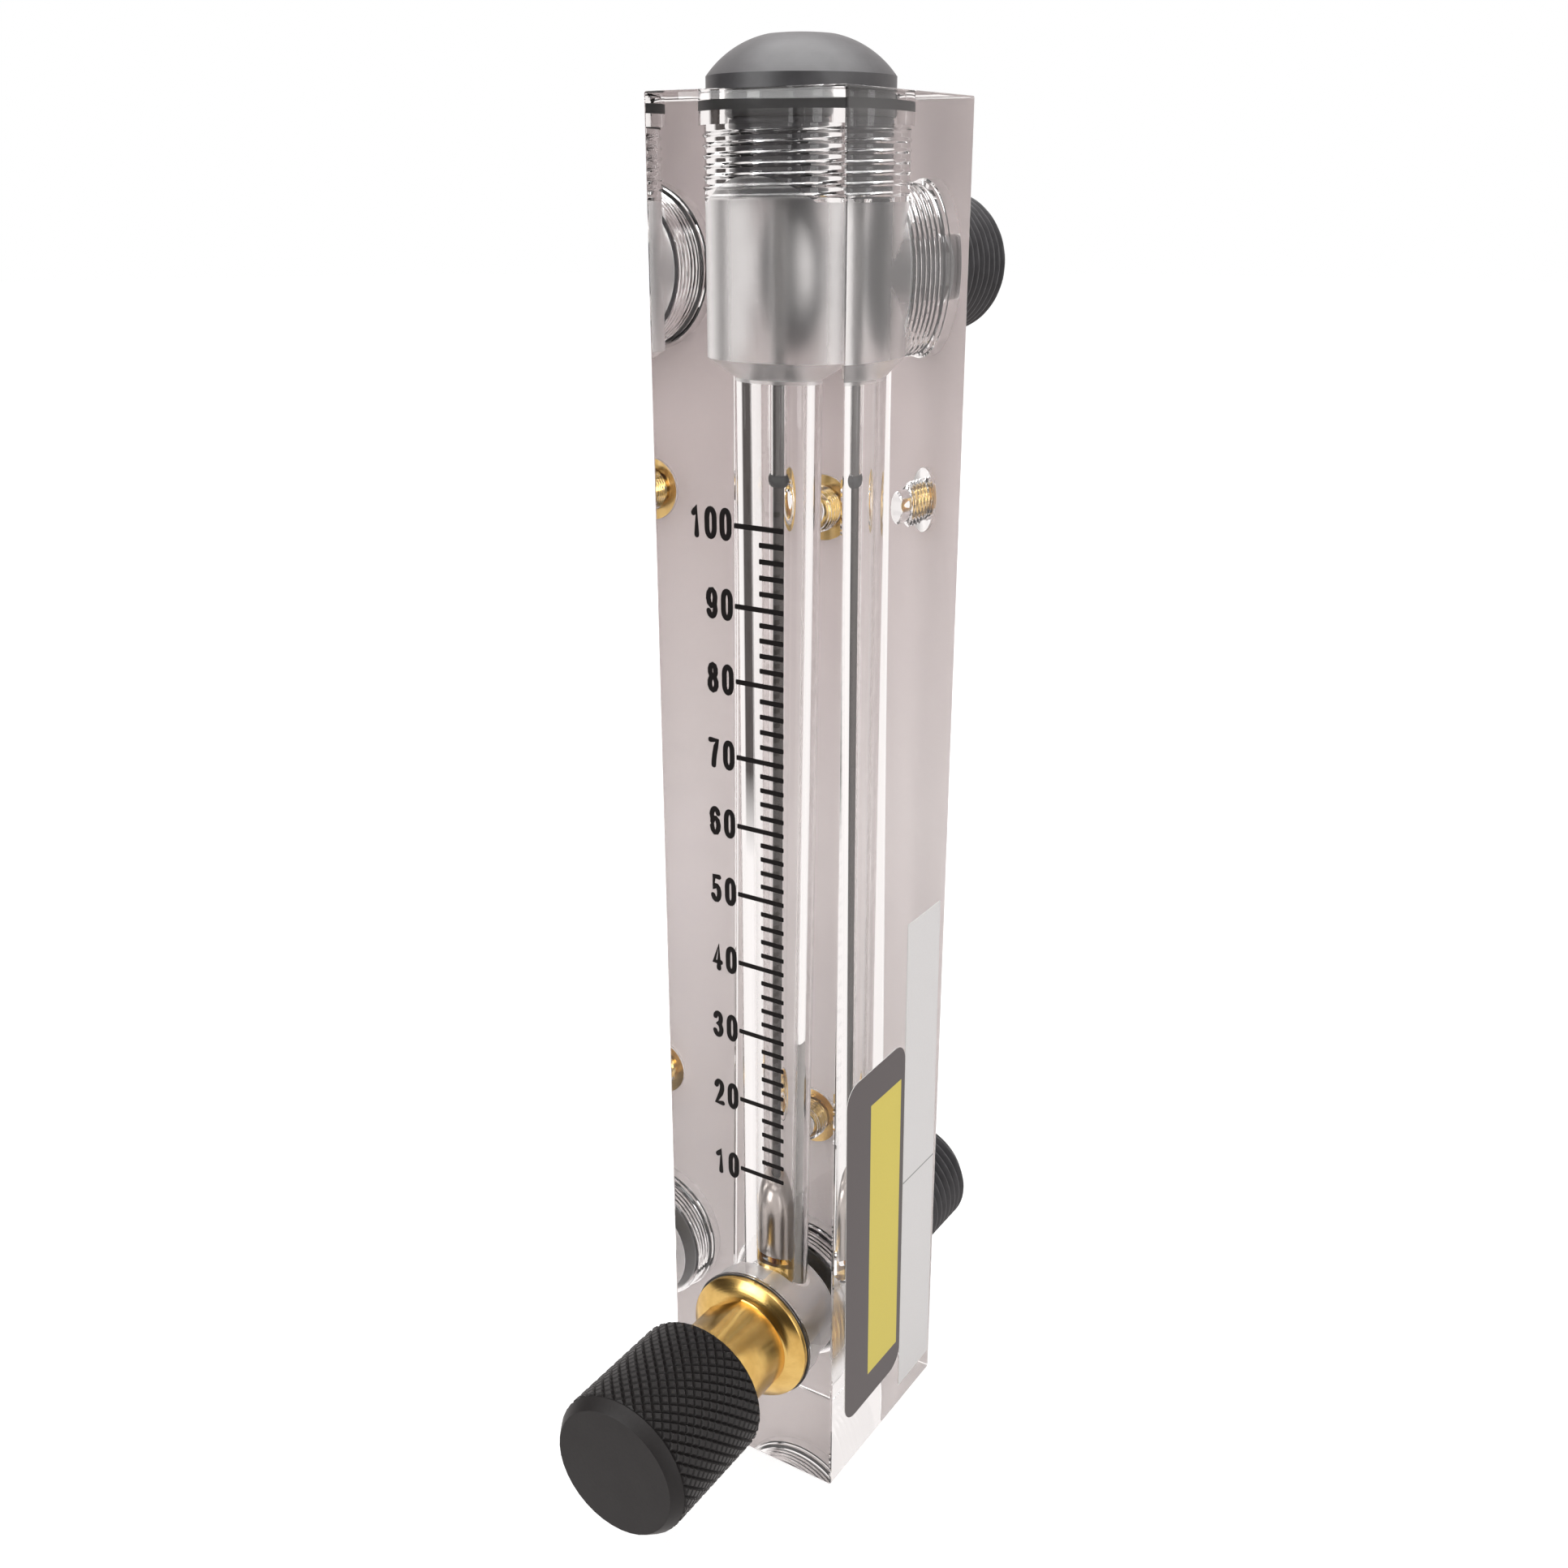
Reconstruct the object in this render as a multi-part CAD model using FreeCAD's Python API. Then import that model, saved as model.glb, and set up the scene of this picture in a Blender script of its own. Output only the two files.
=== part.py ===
import FreeCAD, Part

# Variable-area flow meter machined from one clear acrylic block.
# Frame: origin at the centre of the block's bottom face, +Z up, front face (scale and valve)
# at -Y, pipe connections and mounting inserts on the +Y back. All sizes in millimetres.

import os
from math import radians, tan

from FreeCAD import Vector

X_AXIS = Vector(1, 0, 0)
Y_AXIS = Vector(0, 1, 0)
Z_AXIS = Vector(0, 0, 1)

# Acrylic block
BLOCK_WIDTH = 31.75
BLOCK_DEPTH = 35.5
BLOCK_HEIGHT = 220.0
BLOCK_EDGE_BREAK = 0.3
BORE_FROM_BACK = 21.0
DRILL_POINT_ANGLE = 118.0

# Tapered metering bore, its diameters taken at its two ends
METERING_BORE_BOTTOM_D = 12.0
METERING_BORE_TOP_D = 13.6

# Cylindrical cavities: one diameter for the top chamber and both pipe ports
CAVITY_D = 22.3
VALVE_BORE_D = 20.4
CHAMBER_DEPTH = 34.8
OUTLET_AXIS_BELOW_TOP = 23.5
INLET_AXIS_HEIGHT = 24.4
INLET_DEPTH = 11.25
INLET_WEB = 3.5

# Threads are drawn as plain cylinders at their outside diameter
PLUG_THREAD_D = 22.9
PLUG_THREAD_END = 14.0
PORT_THREAD_D = 24.1
OUTLET_THREAD_END = 13.75
INLET_THREAD_END = 10.9
VALVE_THREAD_D = 22.2
VALVE_THREAD_RUNOUT = 0.4
THREAD_CLEARANCE = 0.1

# O-ring glands at the mouth of each cavity
PLUG_GLAND_D = 24.0
PLUG_GLAND_DEPTH = 4.25
PORT_GLAND_D = 25.15
PORT_GLAND_DEPTH = 3.4
VALVE_GLAND_D = 22.9
VALVE_GLAND_DEPTH = 1.4
ORING_THICKNESS = 1.9
ORING_GAP = 0.02
GROOVE_SIDE_GAP = 0.15

# Top plug
PLUG_HEAD_D = 26.0
PLUG_HEAD_BAND = 1.9
PLUG_DOME_HEIGHT = 5.5
PLUG_SHOULDER_BULGE = 0.09
PLUG_CROWN_D = 10.0
PLUG_CROWN_RISE = 0.3
PLUG_NECK_LENGTH = 3.6
PLUG_LENGTH = 13.6
PLUG_HEX_ACROSS = 8.0
PLUG_HEX_DEPTH = 4.5
ROD_SOCKET_DEPTH = 6.5

# Guide rod, stop sleeve, bumper and lower stop
ROD_D = 2.7
ROD_FIT = 0.02
SLEEVE_D = 3.8
SLEEVE_BORE_GAP = 0.06
BUMPER_D = 5.0
BUMPER_HEIGHT = 1.7
BUMPER_FOOT_D = 3.7
BUMPER_TOP_D = 4.3
BUMPER_BELOW_TOP = 53.0
STOP_LENGTH = 3.4
STOP_HUB_D = 5.4
STOP_CHAMFER = 1.2
STOP_WALL = 0.9
STOP_WEB = 1.1
STOP_WEB_COUNT = 3
STOP_TOP_ABOVE_VALVE = 12.7

# Float
FLOAT_D = 11.5
FLOAT_CYLINDER = 7.7
FLOAT_NOSE = 5.8
FLOAT_NOSE_TIP_D = 4.4
FLOAT_BORE_GAP = 0.2
FLOAT_EDGE = 0.35
FLOAT_REST_GAP = 0.05

# Pipe adapters
ADAPTER_INSIDE = 9.3
ADAPTER_OUTSIDE = 24.5
ADAPTER_FLANGE = 0.95
ADAPTER_FLANGE_GAP = 0.1
ADAPTER_PROUD = 0.4
PIPE_THREAD_D = 21.8
PIPE_THREAD_LENGTH = 16.4
PIPE_END_CHAMFER = 0.9
SHANK_D = 21.0
SHANK_FLATS = 19.0
ADAPTER_BORE_D = 13.0

# Mounting inserts in the back face
INSERT_BELOW_OUTLET = 34.15
INSERT_ABOVE_INLET = 33.15
INSERT_FLANGE_D = 9.9
INSERT_FLANGE = 0.9
INSERT_BARREL_D = 6.9
INSERT_LENGTH = 5.9
INSERT_HOLE_D = 4.2
INSERT_MOUTH_CHAMFER = 0.4
INSERT_PILOT_D = 5.0
INSERT_PILOT_DEPTH = 9.05
INSERT_FIT = 0.02

# Valve bonnet; stations along its axis are measured outwards from the block's front face
BONNET_FLANGE_D = 22.3
BONNET_RIM = 0.9
BONNET_FACE_D = 16.9
BONNET_PROUD = 2.1
BONNET_NECK_D = 16.2
BONNET_NECK_FLATS = 14.3
BONNET_FLAT_ANGLE = 123.0
BONNET_NECK_END = 22.3
BONNET_NOSE_D = 15.0
BONNET_NOSE_LENGTH = 0.7
BONNET_NOSE_TO_BORE = 5.6
BONNET_ORING_THICKNESS = 1.2
BONNET_ORING_WIDTH = 1.0
BONNET_ORING_CONTACT = 0.6
BONNET_ORING_START = 0.03
BONNET_GROOVE_END = 1.1

# Valve stem and seat
STEM_D = 8.0
STEM_THREAD_D = 10.0
STEM_THREAD_LENGTH = 8.5
STEM_RUNNING_GAP = 0.05
STEM_GROOVE_DEPTH = 1.3
STEM_ORING_WIDTH = 1.8
STEM_ORING_GAP = 0.05
STEM_ORING_STATION = 11.0
STEM_SHANK_D = 6.35
STEM_SHANK_LENGTH = 11.0
STEM_FLAT_DEPTH = 0.8
STEM_HEAD_D = 11.6
STEM_HEAD_LENGTH = 2.2
STEM_CONE_LENGTH = 3.0
SEAT_OUTER_D = 14.0
SEAT_HOLE_D = 8.4
SEAT_THICKNESS = 2.0
SEAT_CHAMFER = 0.8
SEAT_GAP = 0.05
SEAT_FIT = 0.02
VALVE_PITCH = 1.27
VALVE_TURNS = 5.0

# Knob
KNOB_D = 24.0
KNOB_LENGTH = 22.95
KNOB_STANDOFF = 14.9
KNOB_FACE_D = 21.36
KNOB_FACE_CHAMFER = 2.0
KNOB_BACK_CHAMFER = 0.4
KNOB_RECESS_DEPTH = 8.0
KNOB_RECESS_GAP = 0.45
KNOB_BORE_GAP = 0.02
SET_SCREW_D = 3.0
SET_SCREW_LENGTH = 6.0
SET_SCREW_ANGLE = 215.0
SET_SCREW_HEX = 1.5
SET_SCREW_HEX_DEPTH = 1.6

# Stickers on the right face, lower edge to upper edge and front edge to back edge
STICKER_THICKNESS = 0.12
STICKER_TILT = 0.8
RATING_STICKER_WIDTH = 11.1
RATING_STICKER_LENGTH = 92.2
RATING_STICKER_BOTTOM = 4.2
NOTICE_STICKER_WIDTH = 19.1
NOTICE_STICKER_LENGTH = 65.6
NOTICE_STICKER_BOTTOM = 9.5
NOTICE_STICKER_CORNER = 3.4
STICKER_BACK_MARGIN = 1.4
STICKER_SPACING = 0.1

# Places worked out from the sizes above
FRONT_Y = -BLOCK_DEPTH / 2
BACK_Y = BLOCK_DEPTH / 2
BORE_Y = BACK_Y - BORE_FROM_BACK
VALVE_BORE_DEPTH = BLOCK_DEPTH - INLET_DEPTH - INLET_WEB
BONNET_NOSE_END = BORE_Y - FRONT_Y - BONNET_NOSE_TO_BORE
BONNET_THREAD_END = BONNET_NOSE_END - BONNET_NOSE_LENGTH
VALVE_THREAD_END = BONNET_THREAD_END + VALVE_THREAD_RUNOUT
OUTLET_Z = BLOCK_HEIGHT - OUTLET_AXIS_BELOW_TOP
CHAMBER_FLOOR_Z = BLOCK_HEIGHT - CHAMBER_DEPTH
DRILL_SLOPE = 1 / tan(radians(DRILL_POINT_ANGLE / 2))
METERING_TOP_Z = CHAMBER_FLOOR_Z - (CAVITY_D - METERING_BORE_TOP_D) / 2 * DRILL_SLOPE
METERING_BOTTOM_Z = INLET_AXIS_HEIGHT
UPPER_INSERT_Z = OUTLET_Z - INSERT_BELOW_OUTLET
LOWER_INSERT_Z = INLET_AXIS_HEIGHT + INSERT_ABOVE_INLET
PLUG_BOTTOM_Z = BLOCK_HEIGHT - PLUG_LENGTH
BUMPER_TOP_Z = BLOCK_HEIGHT - BUMPER_BELOW_TOP + BUMPER_HEIGHT
STOP_TOP_Z = INLET_AXIS_HEIGHT + STOP_TOP_ABOVE_VALVE
STOP_BOTTOM_Z = STOP_TOP_Z - STOP_LENGTH
VALVE_TRAVEL = VALVE_PITCH * VALVE_TURNS
STEM_BORE_D = STEM_D + 2 * STEM_RUNNING_GAP


def turned(profile, origin, direction):
    """Solid of revolution from (radius, station) points, stations measured along direction."""
    across = X_AXIS if abs(direction.dot(X_AXIS)) < 0.5 else Z_AXIS
    points = [origin + across * radius + direction * station for radius, station in profile]
    outline = Part.makePolygon(points + [points[0]])
    return Part.Face(outline).revolve(origin, direction, 360)


def lines(points):
    """Straight edges joining the points in turn."""
    return [Part.LineSegment(first, second).toShape() for first, second in zip(points, points[1:])]


def rod(diameter, origin, direction, start, end):
    """Cylinder between two stations along an axis."""
    return Part.makeCylinder(diameter / 2, end - start, origin + direction * start, direction)


def metering_radius(height):
    """Radius of the tapered metering bore at a height above the base."""
    share = (height - METERING_BOTTOM_Z) / (METERING_TOP_Z - METERING_BOTTOM_Z)
    return (METERING_BORE_BOTTOM_D + share * (METERING_BORE_TOP_D - METERING_BORE_BOTTOM_D)) / 2


def squeezed_oring(outer_radius, thickness, width, contact, origin, direction, middle):
    """O-ring flattened over the contact length between its groove and its gland, its sides round."""
    across = X_AXIS if abs(direction.dot(X_AXIS)) < 0.5 else Z_AXIS
    half = thickness / 2
    straight = contact / 2
    side = width / 2
    centre_radius = outer_radius - half

    def at(radius, station):
        return origin + across * radius + direction * (middle + station)

    edges = [
        Part.LineSegment(at(centre_radius + half, -straight), at(centre_radius + half, straight)).toShape(),
        Part.Arc(at(centre_radius + half, straight), at(centre_radius, side),
                 at(centre_radius - half, straight)).toShape(),
        Part.LineSegment(at(centre_radius - half, straight), at(centre_radius - half, -straight)).toShape(),
        Part.Arc(at(centre_radius - half, -straight), at(centre_radius, -side),
                 at(centre_radius + half, -straight)).toShape(),
    ]
    return Part.Face(Part.Wire(edges)).revolve(origin, direction, 360)


def hexagon(across_flats, origin, direction, start, end):
    """Hexagonal prism between two stations along an axis."""
    across = X_AXIS if abs(direction.dot(X_AXIS)) < 0.5 else Z_AXIS
    corner = across_flats / 2 / tan(radians(60)) * 2
    points = []
    for index in range(6):
        turn = FreeCAD.Rotation(direction, 60 * index)
        points.append(origin + direction * start + turn.multVec(across) * corner)
    return Part.Face(Part.makePolygon(points + [points[0]])).extrude(direction * (end - start))


def flats(shape, across_flats, reach, angle, origin, direction, start, end):
    """Cut two opposite flats whose normals lie at the given angle from +X."""
    side = FreeCAD.Rotation(direction, angle).multVec(X_AXIS)
    if direction.dot(Y_AXIS) < 0:
        side = FreeCAD.Rotation(-direction, -angle).multVec(X_AXIS)
    tangent = direction.cross(side)
    for sign in (1, -1):
        corner = origin + side * (sign * across_flats / 2) - tangent * reach + direction * start
        points = [corner, corner + tangent * 2 * reach]
        points += [points[1] + side * sign * reach, points[0] + side * sign * reach]
        face = Part.Face(Part.makePolygon(points + [points[0]]))
        shape = shape.cut(face.extrude(direction * (end - start)))
    return shape


VERTICAL = Vector(0, BORE_Y, 0)
OUTLET = Vector(0, BACK_Y, OUTLET_Z)
INLET = Vector(0, BACK_Y, INLET_AXIS_HEIGHT)
VALVE = Vector(0, FRONT_Y, INLET_AXIS_HEIGHT)
OUTWARD = Vector(0, -1, 0)


def make_meter_body():
    block = Part.makeBox(BLOCK_WIDTH, BLOCK_DEPTH, BLOCK_HEIGHT, Vector(-BLOCK_WIDTH / 2, FRONT_Y, 0))
    block = block.makeChamfer(BLOCK_EDGE_BREAK, block.Edges)

    cavity_r = CAVITY_D / 2
    plug_thread_r = PLUG_THREAD_D / 2
    gland_r = PLUG_GLAND_D / 2
    chamber = turned([
        (0, METERING_TOP_Z),
        (METERING_BORE_TOP_D / 2, METERING_TOP_Z),
        (cavity_r, CHAMBER_FLOOR_Z),
        (cavity_r, BLOCK_HEIGHT - PLUG_THREAD_END),
        (plug_thread_r, BLOCK_HEIGHT - PLUG_THREAD_END),
        (plug_thread_r, BLOCK_HEIGHT - PLUG_GLAND_DEPTH),
        (gland_r, BLOCK_HEIGHT - PLUG_GLAND_DEPTH),
        (gland_r, BLOCK_HEIGHT + BLOCK_EDGE_BREAK),
        (0, BLOCK_HEIGHT + BLOCK_EDGE_BREAK),
    ], VERTICAL, Z_AXIS)
    metering = turned([
        (0, METERING_BOTTOM_Z),
        (METERING_BORE_BOTTOM_D / 2, METERING_BOTTOM_Z),
        (METERING_BORE_TOP_D / 2, METERING_TOP_Z),
        (METERING_BORE_TOP_D / 2, CHAMBER_FLOOR_Z),
        (0, CHAMBER_FLOOR_Z),
    ], VERTICAL, Z_AXIS)

    port_thread_r = PORT_THREAD_D / 2
    port_gland_r = PORT_GLAND_D / 2
    past_face = -BLOCK_EDGE_BREAK

    def port(thread_end, depth):
        return [
            (0, past_face),
            (port_gland_r, past_face),
            (port_gland_r, PORT_GLAND_DEPTH),
            (port_thread_r, PORT_GLAND_DEPTH),
            (port_thread_r, thread_end),
            (cavity_r, thread_end),
            (cavity_r, depth),
            (0, depth),
        ]

    outlet = turned(port(OUTLET_THREAD_END, BACK_Y - BORE_Y), OUTLET, OUTWARD)
    inlet = turned(port(INLET_THREAD_END, INLET_DEPTH), INLET, OUTWARD)

    valve_gland_r = VALVE_GLAND_D / 2
    valve_thread_r = VALVE_THREAD_D / 2
    valve_bore_r = VALVE_BORE_D / 2
    valve_bore = turned([
        (0, past_face),
        (valve_gland_r, past_face),
        (valve_gland_r, VALVE_GLAND_DEPTH),
        (valve_thread_r, VALVE_GLAND_DEPTH),
        (valve_thread_r, VALVE_THREAD_END),
        (valve_bore_r, VALVE_THREAD_END),
        (valve_bore_r, VALVE_BORE_DEPTH),
        (0, VALVE_BORE_DEPTH),
    ], VALVE, Y_AXIS)
    seat_hole = turned([
        (0, VALVE_BORE_DEPTH - 1),
        (SEAT_OUTER_D / 2, VALVE_BORE_DEPTH - 1),
        (SEAT_OUTER_D / 2, VALVE_BORE_DEPTH + SEAT_THICKNESS),
        (SEAT_HOLE_D / 2, VALVE_BORE_DEPTH + SEAT_THICKNESS),
        (SEAT_HOLE_D / 2, BLOCK_DEPTH - INLET_DEPTH + 1),
        (0, BLOCK_DEPTH - INLET_DEPTH + 1),
    ], VALVE, Y_AXIS)

    body = block
    for hollow in (chamber, metering, outlet, inlet, valve_bore, seat_hole):
        body = body.cut(hollow)
    for height in (LOWER_INSERT_Z, UPPER_INSERT_Z):
        body = body.cut(insert_pocket(height))
    return body


def insert_pocket(height):
    """Stepped hole in the back face that an insert is screwed into."""
    return turned([
        (0, -BLOCK_EDGE_BREAK),
        (INSERT_FLANGE_D / 2 + INSERT_FIT, -BLOCK_EDGE_BREAK),
        (INSERT_FLANGE_D / 2 + INSERT_FIT, INSERT_FLANGE),
        (INSERT_BARREL_D / 2 + INSERT_FIT, INSERT_FLANGE),
        (INSERT_BARREL_D / 2 + INSERT_FIT, INSERT_LENGTH),
        (INSERT_PILOT_D / 2, INSERT_LENGTH),
        (INSERT_PILOT_D / 2, INSERT_PILOT_DEPTH),
        (0, INSERT_PILOT_DEPTH),
    ], Vector(0, BACK_Y, height), OUTWARD)


def make_mount_insert(height):
    return turned([
        (INSERT_HOLE_D / 2 + INSERT_MOUTH_CHAMFER, 0),
        (INSERT_FLANGE_D / 2, 0),
        (INSERT_FLANGE_D / 2, INSERT_FLANGE),
        (INSERT_BARREL_D / 2, INSERT_FLANGE),
        (INSERT_BARREL_D / 2, INSERT_LENGTH),
        (INSERT_HOLE_D / 2, INSERT_LENGTH),
        (INSERT_HOLE_D / 2, INSERT_MOUTH_CHAMFER),
    ], Vector(0, BACK_Y, height), OUTWARD)


def make_top_plug():
    head_r = PLUG_HEAD_D / 2
    crown_r = PLUG_CROWN_D / 2
    neck_r = PLUG_GLAND_D / 2 - ORING_THICKNESS - 2 * ORING_GAP
    thread_r = PLUG_THREAD_D / 2 - THREAD_CLEARANCE
    band_top = BLOCK_HEIGHT + PLUG_HEAD_BAND
    crown_z = band_top + PLUG_DOME_HEIGHT - PLUG_CROWN_RISE

    def at(radius, height):
        return Vector(radius, BORE_Y, height)

    bulge = Vector(head_r - crown_r, 0, -(crown_z - band_top))
    middle = (at(head_r, band_top) + at(crown_r, crown_z)) * 0.5
    outward = Vector(-bulge.z, 0, bulge.x)
    outward.normalize()
    shoulder_mid = middle + outward * (bulge.Length * PLUG_SHOULDER_BULGE)
    edges = lines([
        at(0, PLUG_BOTTOM_Z),
        at(thread_r - THREAD_CLEARANCE * 5, PLUG_BOTTOM_Z),
        at(thread_r, PLUG_BOTTOM_Z + THREAD_CLEARANCE * 5),
        at(thread_r, BLOCK_HEIGHT - PLUG_NECK_LENGTH),
        at(neck_r, BLOCK_HEIGHT - PLUG_NECK_LENGTH),
        at(neck_r, BLOCK_HEIGHT),
        at(head_r, BLOCK_HEIGHT),
        at(head_r, band_top),
    ])
    edges.append(Part.Arc(at(head_r, band_top), shoulder_mid, at(crown_r, crown_z)).toShape())
    crown_mid = at(crown_r / 2, crown_z + PLUG_CROWN_RISE * 0.75)
    crown_top = at(0, crown_z + PLUG_CROWN_RISE)
    edges.append(Part.Arc(at(crown_r, crown_z), crown_mid, crown_top).toShape())
    edges += lines([crown_top, at(0, PLUG_BOTTOM_Z)])
    plug = Part.Face(Part.Wire(edges)).revolve(VERTICAL, Z_AXIS, 360)

    socket_floor = band_top + PLUG_DOME_HEIGHT - PLUG_HEX_DEPTH
    key_socket = hexagon(PLUG_HEX_ACROSS, VERTICAL, Z_AXIS, socket_floor, socket_floor + 2 * PLUG_HEX_DEPTH)
    rod_top = PLUG_BOTTOM_Z + ROD_SOCKET_DEPTH
    rod_socket = rod(ROD_D + 2 * ROD_FIT, VERTICAL, Z_AXIS, PLUG_BOTTOM_Z - 1, rod_top)
    return plug.cut(key_socket).cut(rod_socket)


def make_top_plug_oring():
    neck_middle = BLOCK_HEIGHT - PLUG_NECK_LENGTH / 2
    width = PLUG_NECK_LENGTH - 2 * GROOVE_SIDE_GAP
    return squeezed_oring(PLUG_GLAND_D / 2 - ORING_GAP, ORING_THICKNESS, width, width - ORING_THICKNESS,
                          VERTICAL, Z_AXIS, neck_middle)


def make_guide_rod():
    top = PLUG_BOTTOM_Z + ROD_SOCKET_DEPTH
    bottom = STOP_BOTTOM_Z
    return rod(ROD_D, VERTICAL, Z_AXIS, bottom, top)


def make_stop_sleeve():
    outer = rod(SLEEVE_D, VERTICAL, Z_AXIS, BUMPER_TOP_Z, PLUG_BOTTOM_Z)
    inner = rod(ROD_D + 2 * SLEEVE_BORE_GAP, VERTICAL, Z_AXIS, BUMPER_TOP_Z - 1, PLUG_BOTTOM_Z + 1)
    return outer.cut(inner)


def make_stop_bumper():
    middle = BUMPER_TOP_Z - BUMPER_HEIGHT / 2
    inner_r = ROD_D / 2 + ROD_FIT
    low = middle - BUMPER_HEIGHT / 2
    high = middle + BUMPER_HEIGHT / 2

    def at(radius, height):
        return Vector(radius, BORE_Y, height)

    top_edge = at(BUMPER_TOP_D / 2, high)
    foot_edge = at(BUMPER_FOOT_D / 2, low)
    edges = lines([top_edge, at(inner_r, high), at(inner_r, low), foot_edge])
    edges.append(Part.Arc(foot_edge, at(BUMPER_D / 2, middle), top_edge).toShape())
    return Part.Face(Part.Wire(edges)).revolve(VERTICAL, Z_AXIS, 360)


def make_float_stop():
    """Bush with three webs that holds the rod's lower end and carries the resting float."""
    outer_r = metering_radius(STOP_BOTTOM_Z) - ROD_FIT
    ring = turned([
        (outer_r - STOP_WALL, STOP_BOTTOM_Z),
        (outer_r, STOP_BOTTOM_Z),
        (outer_r, STOP_TOP_Z - STOP_CHAMFER),
        (outer_r - STOP_WALL, STOP_TOP_Z - STOP_CHAMFER),
    ], VERTICAL, Z_AXIS)
    hub = turned([
        (ROD_D / 2 + ROD_FIT, STOP_BOTTOM_Z),
        (STOP_HUB_D / 2, STOP_BOTTOM_Z),
        (STOP_HUB_D / 2, STOP_TOP_Z),
        (ROD_D / 2 + ROD_FIT, STOP_TOP_Z),
    ], VERTICAL, Z_AXIS)
    stop = ring.fuse(hub)
    hub_overlap = (STOP_HUB_D - ROD_D) / 4
    web_start = STOP_HUB_D / 2 - hub_overlap
    web_length = outer_r - STOP_WALL / 2 - web_start
    web_height = STOP_LENGTH - STOP_CHAMFER
    for index in range(STOP_WEB_COUNT):
        web = Part.makeBox(web_length, STOP_WEB, web_height, Vector(web_start, -STOP_WEB / 2, 0))
        web.rotate(Vector(0, 0, 0), Z_AXIS, 90 + 360 / STOP_WEB_COUNT * index)
        web.translate(VERTICAL + Z_AXIS * STOP_BOTTOM_Z)
        stop = stop.fuse(web)
    return stop.removeSplitter()


def make_float():
    radius = FLOAT_D / 2
    bore_r = ROD_D / 2 + FLOAT_BORE_GAP
    base = STOP_TOP_Z + FLOAT_REST_GAP
    edge_z = base + FLOAT_CYLINDER
    tip_z = edge_z + FLOAT_NOSE
    tip_r = FLOAT_NOSE_TIP_D / 2

    def at(r, height):
        return Vector(r, BORE_Y, height)

    # The nose is a circular arc that leaves the cylinder upright
    drop = radius - tip_r
    nose_radius = (FLOAT_NOSE ** 2 + drop ** 2) / (2 * drop)
    half_height = FLOAT_NOSE / 2
    half_drop = nose_radius - (nose_radius ** 2 - half_height ** 2) ** 0.5
    edges = lines([
        at(tip_r, tip_z),
        at(bore_r, tip_z),
        at(bore_r, base),
        at(radius - FLOAT_EDGE, base),
        at(radius, base + FLOAT_EDGE),
        at(radius, edge_z),
    ])
    nose_mid = at(radius - half_drop, edge_z + half_height)
    edges.append(Part.Arc(at(radius, edge_z), nose_mid, at(tip_r, tip_z)).toShape())
    return Part.Face(Part.Wire(edges)).revolve(VERTICAL, Z_AXIS, 360)


def make_adapter(port_origin):
    """Pipe adapter: flange and O-ring neck in the gland, thread inside, pipe thread outside."""
    flange_r = PORT_GLAND_D / 2 - ADAPTER_FLANGE_GAP
    neck_r = PORT_GLAND_D / 2 - ORING_THICKNESS - 2 * ORING_GAP
    thread_r = PORT_THREAD_D / 2 - THREAD_CLEARANCE
    bore_r = ADAPTER_BORE_D / 2
    pipe_r = PIPE_THREAD_D / 2
    pipe_start = ADAPTER_OUTSIDE - PIPE_THREAD_LENGTH
    entry = THREAD_CLEARANCE * 6
    body = turned([
        (bore_r, -ADAPTER_INSIDE),
        (thread_r - entry, -ADAPTER_INSIDE),
        (thread_r, -ADAPTER_INSIDE + entry),
        (thread_r, -PORT_GLAND_DEPTH),
        (neck_r, -PORT_GLAND_DEPTH),
        (neck_r, ADAPTER_PROUD - ADAPTER_FLANGE),
        (flange_r, ADAPTER_PROUD - ADAPTER_FLANGE),
        (flange_r, ADAPTER_PROUD),
        (SHANK_D / 2, ADAPTER_PROUD),
        (SHANK_D / 2, pipe_start),
        (pipe_r, pipe_start),
        (pipe_r, ADAPTER_OUTSIDE - PIPE_END_CHAMFER),
        (pipe_r - PIPE_END_CHAMFER, ADAPTER_OUTSIDE),
        (bore_r, ADAPTER_OUTSIDE),
    ], port_origin, Y_AXIS)
    return flats(body, SHANK_FLATS, SHANK_D, 0, port_origin, Y_AXIS, ADAPTER_PROUD, pipe_start)


def make_adapter_oring(port_origin):
    room = PORT_GLAND_DEPTH - (ADAPTER_FLANGE - ADAPTER_PROUD)
    middle = -(PORT_GLAND_DEPTH - room / 2)
    width = room - 2 * GROOVE_SIDE_GAP
    return squeezed_oring(PORT_GLAND_D / 2 - ORING_GAP, ORING_THICKNESS, width, width - ORING_THICKNESS,
                          port_origin, Y_AXIS, middle)


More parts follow.
